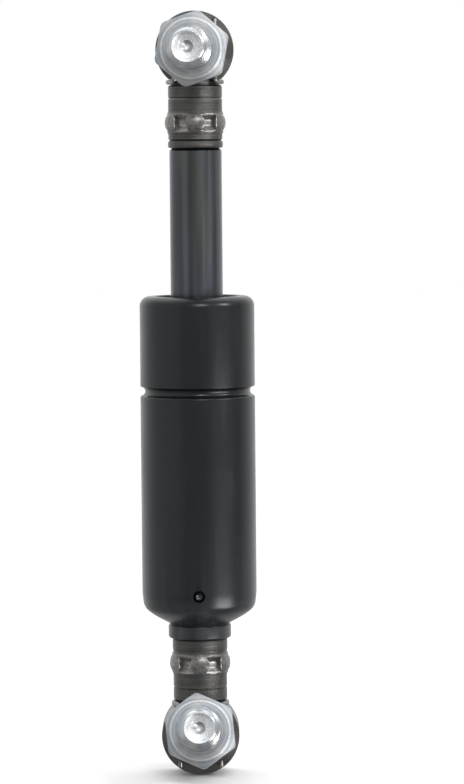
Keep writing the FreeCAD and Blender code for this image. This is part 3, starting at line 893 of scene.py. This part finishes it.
crimp = crimp_from_ball / MM
barrel_corner = SHANK_RADIUS + BARREL_HALF_HEIGHT * math.tan(BARREL_ANGLE)
ring_low = shank_end - END_RING_HEIGHT
line_height = shank_top + LINE_FROM_TOP
line_edge = line_height + LINE_RAMP
shank = turned("shank", [
    (0, 0, 0),
    (NECK_RADIUS, 0, 0),
    (NECK_RADIUS, shank_top, 0),
    (SHANK_RADIUS - SHANK_CHAMFER, shank_top, 0),
    (SHANK_RADIUS, shank_top + SHANK_CHAMFER, 0),
    (SHANK_RADIUS, line_height - LINE_DEPTH, 0),
    (SHANK_RADIUS - LINE_DEPTH, line_height, 0),
    (SHANK_RADIUS, line_edge, 0),
    (SHANK_RADIUS, line_edge + LINE_EDGE, 0),
    (SHANK_RADIUS, crimp - BARREL_HALF_HEIGHT, BARREL_FOOT_ROUND),
    (barrel_corner, crimp, BARREL_CREST_ROUND),
    (SHANK_RADIUS, crimp + BARREL_HALF_HEIGHT, BARREL_FOOT_ROUND),
    (SHANK_RADIUS, ring_low - END_GROOVE_HEIGHT, 0),
    (SHANK_RADIUS - END_GROOVE_DEPTH, ring_low - END_GROOVE_HEIGHT / 2, 0),
    (SHANK_RADIUS, ring_low, 0),
    (END_RING_RADIUS, ring_low + SHANK_CHAMFER, 0),
    (END_RING_RADIUS, shank_end - SHANK_CHAMFER, 0),
    (END_RING_RADIUS - SHANK_CHAMFER, shank_end, 0),
    (SOCKET_BORE, shank_end, 0),
    (SOCKET_BORE, shank_end - BORE_DEPTH, 0),
    (0, shank_end - BORE_DEPTH, 0),
])
combine(lower_socket, shank, "UNION")
print("head and shank united:", len(lower_socket.data.polygons), "faces")

# %% [markdown]
# Each jaw leaves a pocket with a flat floor, sloping ends and a narrow waist, so the lobes
# between the pockets are lens shaped. One punch is shaped from a block: it is sliced into
# rows, and each row is moved and scaled to its place.

# %% Shape a punch
POCKET_FLOOR = 4.68
NOSE_HALF_HEIGHT = 0.5
JAW_FLANK = math.tan(math.radians(58))
JAW_DRAFT = math.tan(math.radians(12))
WAIST_HALF_WIDTH = 1.0
WAIST_ROUND = 2.6
PUNCH_DEPTH = 1.6
FLANK_DEPTH = 0.8 * PUNCH_DEPTH
PUNCH_ROWS = 5
punch_back = POCKET_FLOOR + PUNCH_DEPTH
punch_half_height = NOSE_HALF_HEIGHT + FLANK_DEPTH * JAW_FLANK

clear_bench()
bpy.ops.mesh.primitive_cube_add(
    size=2, location=(POCKET_FLOOR + PUNCH_DEPTH / 2, 0, 0),
    scale=(PUNCH_DEPTH / 2, WAIST_HALF_WIDTH, punch_half_height),
)
punch = settle(bpy.context.object)
open_piece(punch)
row_step = (punch_half_height - NOSE_HALF_HEIGHT) / PUNCH_ROWS
rows = [NOSE_HALF_HEIGHT + row_step * row for row in range(PUNCH_ROWS + 1)]
for height in [-row for row in rows[:-1]] + [0] + rows[:-1]:
    bpy.ops.mesh.select_all(action="SELECT")
    bpy.ops.mesh.bisect(plane_co=(0, 0, height), plane_no=(0, 0, 1))
for height in [0] + rows:
    waist = WAIST_ROUND - math.sqrt(WAIST_ROUND ** 2 - height ** 2)
    flank_run = max(0, height - NOSE_HALF_HEIGHT) / JAW_FLANK
    for at_back in (True, False):
        pick(punch, "VERT", lambda point: abs(abs(point.co.z) - height) < NEAR
             and (point.co.x > punch_back - NEAR) == at_back)
        run = PUNCH_DEPTH if at_back else flank_run
        width = (WAIST_HALF_WIDTH + waist + run * JAW_DRAFT) / WAIST_HALF_WIDTH
        bpy.ops.transform.resize(value=(1, width, 1), center_override=(0, 0, 0))
        bpy.ops.transform.translate(value=(0 if at_back else flank_run, 0, 0))
close_piece()
print("punch shaped:", len(punch.data.polygons), "faces")

# %% [markdown]
# The six jaws close at once. So the punch is copied and turned about the shank, and the
# copies are joined into one tool for a single cut.

# %% Press the pockets
JAWS = 6
punches = [copied(punch, "punch") for jaw in range(1, JAWS)]
for jaw, copy in enumerate([punch] + punches):
    copy.rotation_euler = (0, 0, 2 * math.pi * jaw / JAWS)
    copy.location = (0, 0, crimp)
    settle(copy)
clear_bench()
for copy in punches:
    copy.select_set(True)
punch.select_set(True)
bpy.context.view_layer.objects.active = punch
bpy.ops.object.join()
combine(lower_socket, punch, "DIFFERENCE")
print("pockets pressed:", len(lower_socket.data.polygons), "faces")

# %% [markdown]
# A crimped edge is never sharp, so the rims of the pockets and the bends at their floors get
# a small bevel. They are rubbed bright, which also paints in the highlight along them, and the
# edge of the turned line is painted bright as a highlight. An attribute marks these points for
# the finish.

# %% Soften the rims
RIM_BEVEL = 0.09
RIM_ANGLE = math.radians(18)
RIM_REACH = BARREL_HALF_HEIGHT + 0.4
FLOOR_REACH = POCKET_FLOOR + 0.2


def on_pocket_rim(edge):
    """True for a raised sharp edge of the crimp, or a bend at the end of a pocket's floor."""
    middle = (edge.verts[0].co + edge.verts[1].co) / 2
    from_crimp = abs(middle.z - crimp)
    radius = math.hypot(middle.x, middle.y)
    if from_crimp > RIM_REACH or radius < POCKET_FLOOR - NEAR or len(edge.link_faces) != 2:
        return False
    fold = edge.calc_face_angle_signed(0)
    if radius < FLOOR_REACH:
        return abs(from_crimp - NOSE_HALF_HEIGHT) < NEAR and fold < -RIM_ANGLE
    return fold > RIM_ANGLE


def set_wear_and_highlight(amount):
    """Gives the selected points this much wear and painted highlight."""
    bpy.ops.mesh.attribute_set(value_float=amount)


pick_up(lower_socket)
bpy.ops.geometry.attribute_add(name=WEAR_AND_HIGHLIGHT, domain="POINT", data_type="FLOAT")
open_piece(lower_socket)
pick(lower_socket, "EDGE", on_pocket_rim)
bpy.ops.mesh.bevel(offset=RIM_BEVEL, segments=2, profile=0.5, clamp_overlap=False)
set_wear_and_highlight(1.0)
# Painted highlight: the edge of the turned line is marked bright for the light it catches.
pick(lower_socket, "VERT", lambda point: abs(point.co.z - line_edge) < NEAR)
set_wear_and_highlight(1.0)
close_piece()
print("rims softened:", len(lower_socket.data.polygons), "faces")

# %% [markdown]
# The ball goes in from the front, so the cavity is a round-ended bore with a chamfered
# mouth. Two thin holes run through the head for the clip's legs, just in front of the ball.

# %% Bore the socket
CAVITY_RADIUS = 5.08
MOUTH_CHAMFER = 0.3
LEG_HALF_SPAN = 3.9
WIRE_RADIUS = 0.45
LEG_CLEARANCE = 0.06
LEG_HOLE_SIDES = 40
leg_front = -clip_low.y - WIRE_RADIUS

cavity = laid_down(turned("cavity", [
    (0, -2 * head_front, 0),
    (CAVITY_RADIUS + MOUTH_CHAMFER, -2 * head_front, 0),
    (CAVITY_RADIUS + MOUTH_CHAMFER, -head_front, 0),
    (CAVITY_RADIUS, MOUTH_CHAMFER - head_front, 0),
    (CAVITY_RADIUS, CAVITY_RADIUS, CAVITY_RADIUS),
    (0, CAVITY_RADIUS, 0),
]))
combine(lower_socket, cavity, "DIFFERENCE")
for side in (-1, 1):
    clear_bench()
    bpy.ops.mesh.primitive_cylinder_add(
        vertices=LEG_HOLE_SIDES, radius=WIRE_RADIUS + LEG_CLEARANCE, depth=3 * head_radius,
        location=(side * LEG_HALF_SPAN, -leg_front, 0),
    )
    combine(lower_socket, settle(bpy.context.object), "DIFFERENCE")
print("socket bored:", len(lower_socket.data.polygons), "faces")

# %% [markdown]
# The upper socket is a copy, turned over. The lower one has no groove at its end in the photo,
# so a wider ring fills it, up to the crimp. The points of that ring are new and get no wear and no
# painted highlight.

# %% Copy the socket
RING_FROM_BARREL = 0.3
RING_STEP = 0.02


def at_upper_end(piece):
    """Turns a lower end fitting over and lifts it to the upper ball."""
    piece.rotation_euler = (0, math.pi, 0)
    piece.location = (0, 0, upper_ball / MM)
    return settle(piece)


upper_socket = at_upper_end(copied(lower_socket, "upper_ball_socket_crimped"))
wide_low = crimp + BARREL_HALF_HEIGHT + RING_FROM_BARREL
wide_high = shank_end - 2 * SHANK_CHAMFER
wide_ring = turned("wide_ring", [
    (NECK_RADIUS, wide_low, 0),
    (SHANK_RADIUS - RING_STEP, wide_low, 0),
    (END_RING_RADIUS + RING_STEP, wide_low + SHANK_CHAMFER, 0),
    (END_RING_RADIUS + RING_STEP, wide_high, 0),
    (NECK_RADIUS, wide_high, 0),
    (NECK_RADIUS, wide_low, 0),
])
combine(lower_socket, wide_ring, "UNION")
open_piece(lower_socket)
pick(lower_socket, "VERT", lambda point: point.co.z > wide_low - RING_STEP)
set_wear_and_highlight(0.0)
close_piece()
hand_over(lower_socket, "lower_ball_socket")
hand_over(upper_socket, "upper_ball_socket")

# %% [markdown]
# The safety clip is one length of spring wire: a leg through each side of the head, in
# front of the ball, and a stirrup that springs round the back of the neck. The wire is
# drawn as it is bent: Extrude makes a straight run, and Spin makes a bend. Where two bends
# meet, there is no run between them.

# %% Bend a wire
WIRE_SIDES = 20
BEND_STEP = math.radians(10)
WIRE_END_ROUND = 0.12
WIRE_END_ANGLE = math.radians(60)


def bent_wire(name, radius, path):
    """A round wire along straight runs. The path gives (point, bend radius) from end to end."""
    points = [Vector(point) for point, bend in path]
    clear_bench()
    first_run = points[1] - points[0]
    bpy.ops.mesh.primitive_circle_add(
        vertices=WIRE_SIDES, radius=radius, location=points[0],
        rotation=first_run.to_track_quat("Z", "Y").to_euler(),
    )
    wire = settle(bpy.context.object)
    wire.name = name
    open_piece(wire)
    bpy.ops.mesh.select_all(action="SELECT")
    here = points[0]
    for index in range(1, len(points) - 1):
        before = (points[index] - points[index - 1]).normalized()
        after = (points[index + 1] - points[index]).normalized()
        turn = before.angle(after)
        bend = path[index][1]
        start = points[index] - before * bend * math.tan(turn / 2)
        axis = before.cross(after).normalized()
        if (start - here).length > NEAR:
            bpy.ops.mesh.extrude_region_move(TRANSFORM_OT_translate={"value": start - here})
        bpy.ops.mesh.spin(
            steps=max(2, round(turn / BEND_STEP)), angle=-turn,
            center=start + axis.cross(before) * bend, axis=axis,
        )
        here = points[index] + after * bend * math.tan(turn / 2)
    bpy.ops.mesh.extrude_region_move(TRANSFORM_OT_translate={"value": points[-1] - here})
    bpy.ops.mesh.select_all(action="SELECT")
    bpy.ops.mesh.fill_holes(sides=0)
    bpy.ops.mesh.select_all(action="DESELECT")
    bpy.ops.mesh.select_mode(type="EDGE")
    bpy.ops.mesh.edges_select_sharp(sharpness=WIRE_END_ANGLE)
    bpy.ops.mesh.bevel(offset=WIRE_END_ROUND, segments=2, profile=0.5)
    close_piece()
    return wire


print("wire bent in steps of", round(math.degrees(BEND_STEP)), "degrees")

# %% [markdown]
# Half of the clip's path is written down, and the other half mirrors it.

# %% Bend the clips
CORNER_ROUND = 0.6
SIDE_ROUND = 2.0
SIDE_RUN = 1.6
clip_height = clip_high.z - WIRE_RADIUS
stirrup = clip_high.x - WIRE_RADIUS
half_path = [
    ((LEG_HALF_SPAN, -leg_front, clip_low.z), 0),
    ((LEG_HALF_SPAN, -leg_front, clip_height), CORNER_ROUND),
    ((stirrup, -SIDE_RUN, clip_height), SIDE_ROUND),
    ((stirrup, stirrup, clip_height), stirrup),
]
other_half = [((-x, y, z), bend) for (x, y, z), bend in reversed(half_path)]
lower_clip = bent_wire("lower_safety_clip_bent", WIRE_RADIUS, half_path + other_half)
upper_clip = at_upper_end(copied(lower_clip, "upper_safety_clip_bent"))
hand_over(lower_clip, "lower_safety_clip")
hand_over(upper_clip, "upper_safety_clip")

# %% [markdown]
# The stud's M8 thread is a true helix. One tooth of the standard profile is drawn as a
# line, and the Screw modifier winds it up the stud by one pitch a turn. It starts some turns
# inside the hex and runs past the end of the stud, to be trimmed later.

# %% Wind the thread
THREAD_RADIUS = 4.0
THREAD_PITCH = 1.25
THREAD_DEPTH = 0.767
THREAD_FLANK = math.tan(math.radians(30))
THREAD_LENGTH = 12.5
CREST_WIDTH = THREAD_PITCH / 8
THREAD_SEAM = 0.001
SPARE_TURNS = 2
WIND_STEPS = 64
HEX_HEIGHT = 5.0
STUD_HEAD_GAP = 2.6

hex_back = head_front + STUD_HEAD_GAP
hex_middle = hex_back + HEX_HEIGHT / 2
hex_front = hex_back + HEX_HEIGHT
stud_end = hex_front + THREAD_LENGTH
root_radius = THREAD_RADIUS - THREAD_DEPTH
flank_rise = THREAD_DEPTH * THREAD_FLANK
thread_start = hex_front - SPARE_TURNS * THREAD_PITCH
tooth = [
    complex(root_radius, thread_start),
    complex(root_radius, thread_start + THREAD_PITCH - CREST_WIDTH - 2 * flank_rise),
    complex(THREAD_RADIUS, thread_start + THREAD_PITCH - CREST_WIDTH - flank_rise),
    complex(THREAD_RADIUS, thread_start + THREAD_PITCH - flank_rise),
    complex(root_radius, thread_start + THREAD_PITCH),
]
thread = drawn_line("lower_ball_stud_threaded", tooth)
pick_up(thread)
winding = thread.modifiers.new("winding", "SCREW")
winding.steps = winding.render_steps = WIND_STEPS
winding.screw_offset = THREAD_PITCH
winding.iterations = math.ceil(THREAD_LENGTH / THREAD_PITCH) + SPARE_TURNS + 1
winding.use_merge_vertices = True
winding.merge_threshold = THREAD_SEAM
bpy.ops.object.modifier_apply(modifier=winding.name)
clean(thread)
print("thread wound:", len(thread.data.polygons), "faces")

# %% [markdown]
# The two open ends of the winding are drawn to the axis, so that the thread is a closed body,
# and a chamfered blank trims it. Rolling a thread pushes the metal outwards, so the blank's
# end is a shallow dish.

# %% Trim the thread
THREAD_CHAMFER = 1.05
DISH_RADIUS = 1.5
DISH_DEPTH = 0.52
DISH_ROUND = 8.3
DISH_RIM_ROUND = 0.12
thread_middle = (hex_front + stud_end) / 2
for at_top in (False, True):
    open_piece(thread)
    pick(thread, "EDGE", lambda edge: edge.is_boundary
         and (edge.verts[0].co.z > thread_middle) == at_top)
    bpy.ops.mesh.extrude_region_move(TRANSFORM_OT_translate={"value": (0, 0, 0)})
    bpy.ops.mesh.merge(type="CENTER")
    close_piece()
blank = turned("blank", [
    (0, hex_middle, 0),
    (THREAD_RADIUS, hex_middle, 0),
    (THREAD_RADIUS, stud_end - THREAD_CHAMFER, 0),
    (THREAD_RADIUS - THREAD_CHAMFER, stud_end, DISH_RIM_ROUND),
    (DISH_RADIUS, stud_end - DISH_DEPTH, DISH_ROUND),
    (0, stud_end - DISH_DEPTH, 0),
])
combine(thread, blank, "INTERSECT")
print("thread trimmed:", len(thread.data.polygons), "faces")

# %% [markdown]
# The hex is drawn bar with rounded corners, which are turned off at 30 degrees. That draws
# the round face line and the curved edges on the flats. The turning tool has a small nose,
# so the face line is rounded too. A 13 mm hex is a little smaller than its name, and 12.8 mm
# is within its tolerance.

# %% Shape the hex
HEX_FLATS = 12.8
HEX_FACE_RADIUS = 5.62
HEX_CHAMFER = math.tan(math.radians(30))
HEX_BACK_CHAMFER = 0.4
HEX_FACE_ROUND = 0.5
HEX_CORNER_ROUND = 1.2
HEX_CORNER_STEPS = 6
hex_corner = HEX_FLATS / 2 / math.cos(math.pi / 6)


def hex_prism(turn):
    """The hex with a corner at the top, turned clockwise by this angle."""
    clear_bench()
    bpy.ops.mesh.primitive_cylinder_add(
        vertices=6, radius=hex_corner, depth=2 * HEX_HEIGHT,
        location=(0, 0, hex_middle), rotation=(0, 0, -turn),
    )
    prism = settle(bpy.context.object)
    open_piece(prism)
    pick(prism, "EDGE", lambda edge: abs(edge.verts[0].co.z - edge.verts[1].co.z) > HEX_HEIGHT)
    bpy.ops.mesh.bevel(
        offset=HEX_CORNER_ROUND * math.tan(math.pi / 6), segments=HEX_CORNER_STEPS, profile=0.5
    )
    close_piece()
    chamfer_blank = turned("chamfer_blank", [
        (0, hex_back, 0),
        (hex_corner - HEX_BACK_CHAMFER / HEX_CHAMFER, hex_back, 0),
        (hex_corner + NEAR, hex_back + HEX_BACK_CHAMFER, 0),
        (hex_corner + NEAR, hex_front - (hex_corner - HEX_FACE_RADIUS) * HEX_CHAMFER, 0),
        (HEX_FACE_RADIUS, hex_front, HEX_FACE_ROUND),
        (0, hex_front, 0),
    ])
    combine(prism, chamfer_blank, "INTERSECT")
    clean(prism)
    print("hex cut:", len(prism.data.polygons), "faces")
    return prism


print("hex:", HEX_FLATS, "mm across flats")

# %% [markdown]
# The other parts of a stud are plain turning: the ball with its neck, and the tool for the
# centre hole, by which the lathe held the stud.

# %% Turn the ball and the centre hole
STUD_NECK_RADIUS = 2.6
BALL_RADIUS = 5.0
HOLE_RADIUS = 1.175
HOLE_DEPTH = 1.6


def ball_and_neck():
    """The ball and its neck, up to the middle of the hex."""
    neck_start = math.sqrt(BALL_RADIUS ** 2 - STUD_NECK_RADIUS ** 2)
    ball = turned("ball", [
        (0, -BALL_RADIUS, 0),
        (BALL_RADIUS, -BALL_RADIUS, BALL_RADIUS),
        (BALL_RADIUS, BALL_RADIUS, BALL_RADIUS),
        (0, BALL_RADIUS, 0),
    ])
    neck = turned("neck", [
        (0, neck_start / 2, 0),
        (STUD_NECK_RADIUS, neck_start / 2, 0),
        (STUD_NECK_RADIUS, hex_middle, 0),
        (0, hex_middle, 0),
    ])
    combine(ball, neck, "UNION")
    return ball


def centre_hole():
    """The drilled hole in the stud's end, with its countersunk bottom."""
    return turned("centre_hole", [
        (0, stud_end - HOLE_DEPTH, 0),
        (HOLE_RADIUS, stud_end - HOLE_DEPTH + HOLE_RADIUS, 0),
        (HOLE_RADIUS, stud_end + HOLE_DEPTH, 0),
        (0, stud_end + HOLE_DEPTH, 0),
    ])


print("ball", 2 * BALL_RADIUS, "mm, centre hole", 2 * HOLE_RADIUS, "mm")

# %% [markdown]
# Ball, neck, hex and thread are one piece of steel, so they are united, and the centre hole is
# cut. Each stud leans in its socket as its mount's axis says, and its hex stands as in the
# photo.

# %% Unite the two studs
HEX_TURN = {"lower_stud": math.radians(-5.9), "upper_stud": math.radians(10.7)}
studs = {"lower_stud": thread, "upper_stud": copied(thread, "upper_ball_stud_threaded")}
for stud, piece in studs.items():
    combine(piece, hex_prism(HEX_TURN[stud]), "UNION")
    combine(piece, ball_and_neck(), "UNION")
    combine(piece, centre_hole(), "DIFFERENCE")
    clean(piece)
    corner = max(point.co.xy.length for point in piece.data.vertices)
    print(stud, "is", round(2 * corner, 2), "mm across its corners")
    axis = Vector(mount_at[stud]["axis"])
    lean_up = math.asin(axis.z)
    lean_left = math.atan2(-axis.x, -axis.y)
    piece.rotation_euler = (math.pi / 2 - lean_up, 0, -lean_left)
    piece.location = Vector(mount_at[stud.replace("stud", "ball")]["pos_m"]) / MM
    settle(piece)
    hand_over(piece, stud.replace("stud", "ball_stud"), zinc[stud])

# %% [markdown]
# Through the open rim a steel cover washer shows round the rod. It is a punched ring, with
# its upper edges rounded by the die.

# %% Punch the cover washer
PUNCHED_ROUND = 0.25
WASHER_BORE = 5.3
washer_low, washer_high = box_mm("cover_washer")
cover = turned("cover_washer_punched", [
    (WASHER_BORE, washer_low.z, 0),
    (washer_high.x, washer_low.z, 0),
    (washer_high.x, washer_high.z, PUNCHED_ROUND),
    (WASHER_BORE, washer_high.z, PUNCHED_ROUND),
    (WASHER_BORE, washer_low.z, 0),
])
hand_over(cover, "cover_washer")

# %% [markdown]
# The pieces inside the cylinder keep their CAD shapes. They only need their finishes.

# %% Finish the pieces inside
inside = sorted(set(frame["nodes"]) - replaced)
for node in inside:
    frame["nodes"][node].data.materials.clear()
    frame["nodes"][node].data.materials.append(finishes[slot_of_node[node]])
print("inside:", inside)

# %% [markdown]
# The spring stands on a plain white floor. Its finish is a soft matt white with a little
# unevenness, so that it reads as a real surface in the close views.

# %% Lay the floor
FLOOR_SIZE = 5.0
FLOOR_GAP = 0.0002


def white_floor():
    material, place = begin_finish("white_floor")
    grain = place.noise(0.02)
    end_finish(
        place,
        {
            "Base Color": grain.mixed(colour(0.90, 0.90, 0.90), colour(0.94, 0.94, 0.94)),
            "Roughness": 0.9,
            "Specular IOR Level": 0.1,
        },
        grain,
        0.0001,
    )
    return material


clear_bench()
bpy.ops.mesh.primitive_plane_add(size=FLOOR_SIZE, location=(0, 0, cad_box[0].z - FLOOR_GAP))
floor = settle(bpy.context.object)
floor.name = "floor"
floor.data.materials.append(white_floor())
print("floor at", round(cad_box[0].z - FLOOR_GAP, 5))

# %% [markdown]
# Polished and satin metal is mostly a picture of the room, so the room is lit as a product
# studio is: white behind, two pale panels at the sides with a darker gap at the camera, and
# darkest below. A low glow at the right is the light that a white table throws up, which draws
# the soft spot on the cylinder's shoulder. What the camera sees directly is plain white, and
# the floor is left out of reflections, so that the undersides of the round pieces stay dark.

# %% Light the room
FRONT_LIGHT = 0.5
PANEL_LIGHT = 0.26
BACK_LIGHT = 0.35
TOP_LIGHT = 1.5
BELOW_SHARE = 0.55
LOW_GLOW = 9.0

room = bpy.data.worlds.new("studio")
bpy.context.scene.world = room
room.use_nodes = True
room.node_tree.nodes.clear()
direction = Shade(room.node_tree.nodes.new("ShaderNodeTexCoord").outputs["Generated"])
side, depth, rise = direction.along(0), direction.along(1), direction.along(2)
azimuth = direction.math("ARCTAN2", side, 0 - depth)
left_panel = azimuth.step(-0.45, -0.75)
right_panel = azimuth.step(0.3, 0.55) - azimuth.step(1.25, 1.4) + azimuth.step(1.6, 1.9)
behind = depth.step(0.1, 0.8)
overhead = rise.step(0.5, 1.0) * depth.step(-0.5, 0.5)
below = rise.step(-0.04, -0.5)
low_glow = azimuth.step(0.5, 0.75) * azimuth.step(1.35, 1.1)
low_glow = low_glow * rise.step(-0.18, -0.32) * rise.step(-0.58, -0.52)
strength = (left_panel + right_panel) * PANEL_LIGHT + behind * BACK_LIGHT + FRONT_LIGHT
strength = (strength + overhead * TOP_LIGHT) * (1 - below * (1 - BELOW_SHARE))
strength = strength + low_glow * LOW_GLOW
seen = direction.node("ShaderNodeLightPath", None, None, "Is Camera Ray")
strength = seen + (1 - seen) * strength
light = direction.node(
    "ShaderNodeBackground", None, {"Color": colour(1, 1, 1), "Strength": strength}
)
direction.node("ShaderNodeOutputWorld", None, {"Surface": light})
floor.visible_glossy = False
bpy.context.scene.view_settings.view_transform = "Standard"
print("room light: front", FRONT_LIGHT, "panels", FRONT_LIGHT + PANEL_LIGHT)

# %% [markdown]
# Two small soft boxes shape the pieces. One at the right lights the right side of the turned
# sockets and the edges of the crimp. The other, near the camera and above it, shines into the
# dished ends of the studs.

# %% Set the soft boxes
SOFT_BOX_SIZE = 0.2
middle = (cad_box[0] + cad_box[1]) / 2


def soft_box(name, azimuth, elevation, distance, radiance):
    """An area light that looks at the middle of the spring. Azimuth 0 is the camera's side."""
    turn = math.radians(azimuth)
    rise = math.radians(elevation)
    away = Vector((
        math.sin(turn) * math.cos(rise), -math.cos(turn) * math.cos(rise), math.sin(rise)
    ))
    clear_bench()
    bpy.ops.object.light_add(
        type="AREA", location=middle + away * distance,
        rotation=away.to_track_quat("Z", "Y").to_euler(),
    )
    lamp = bpy.context.object
    lamp.name = name
    lamp.data.shape = "SQUARE"
    lamp.data.size = SOFT_BOX_SIZE
    lamp.data.energy = radiance * math.pi * SOFT_BOX_SIZE ** 2


soft_box("side_box", azimuth=62, elevation=31, distance=0.8, radiance=13.0)
soft_box("front_box", azimuth=10, elevation=32, distance=0.75, radiance=10.0)
print("soft boxes set round", [round(value, 4) for value in middle])

# %% [markdown]
# The camera stands about 0.8 m away, a little above the middle of the spring and looking
# slightly down, with a long lens. A long lens keeps the two ends the same size, as in a
# catalogue picture.

# %% Place the camera
CAMERA_DISTANCE = 0.805
CAMERA_PITCH = math.radians(3.5)
CAMERA_ROLL = math.radians(-0.5)
LOOK_AT = Vector((0.00658, 0.0, 0.06588))
FRAME_HEIGHT = 0.15045
SENSOR = 36.0

clear_bench()
bpy.ops.object.camera_add()
camera = bpy.context.object
view_way = Vector((0, math.cos(CAMERA_PITCH), -math.sin(CAMERA_PITCH)))
camera.location = LOOK_AT - view_way * CAMERA_DISTANCE
camera.rotation_mode = "QUATERNION"
roll = Quaternion((0, 0, 1), CAMERA_ROLL)
camera.rotation_quaternion = view_way.to_track_quat("-Z", "Y") @ roll
camera.data.sensor_width = SENSOR
camera.data.lens = SENSOR * CAMERA_DISTANCE / FRAME_HEIGHT
camera.data.clip_start = 0.01
camera.data.clip_end = 20
bpy.context.scene.camera = camera
print("camera at", [round(value, 4) for value in camera.location])
print("lens", round(camera.data.lens, 1), "mm")
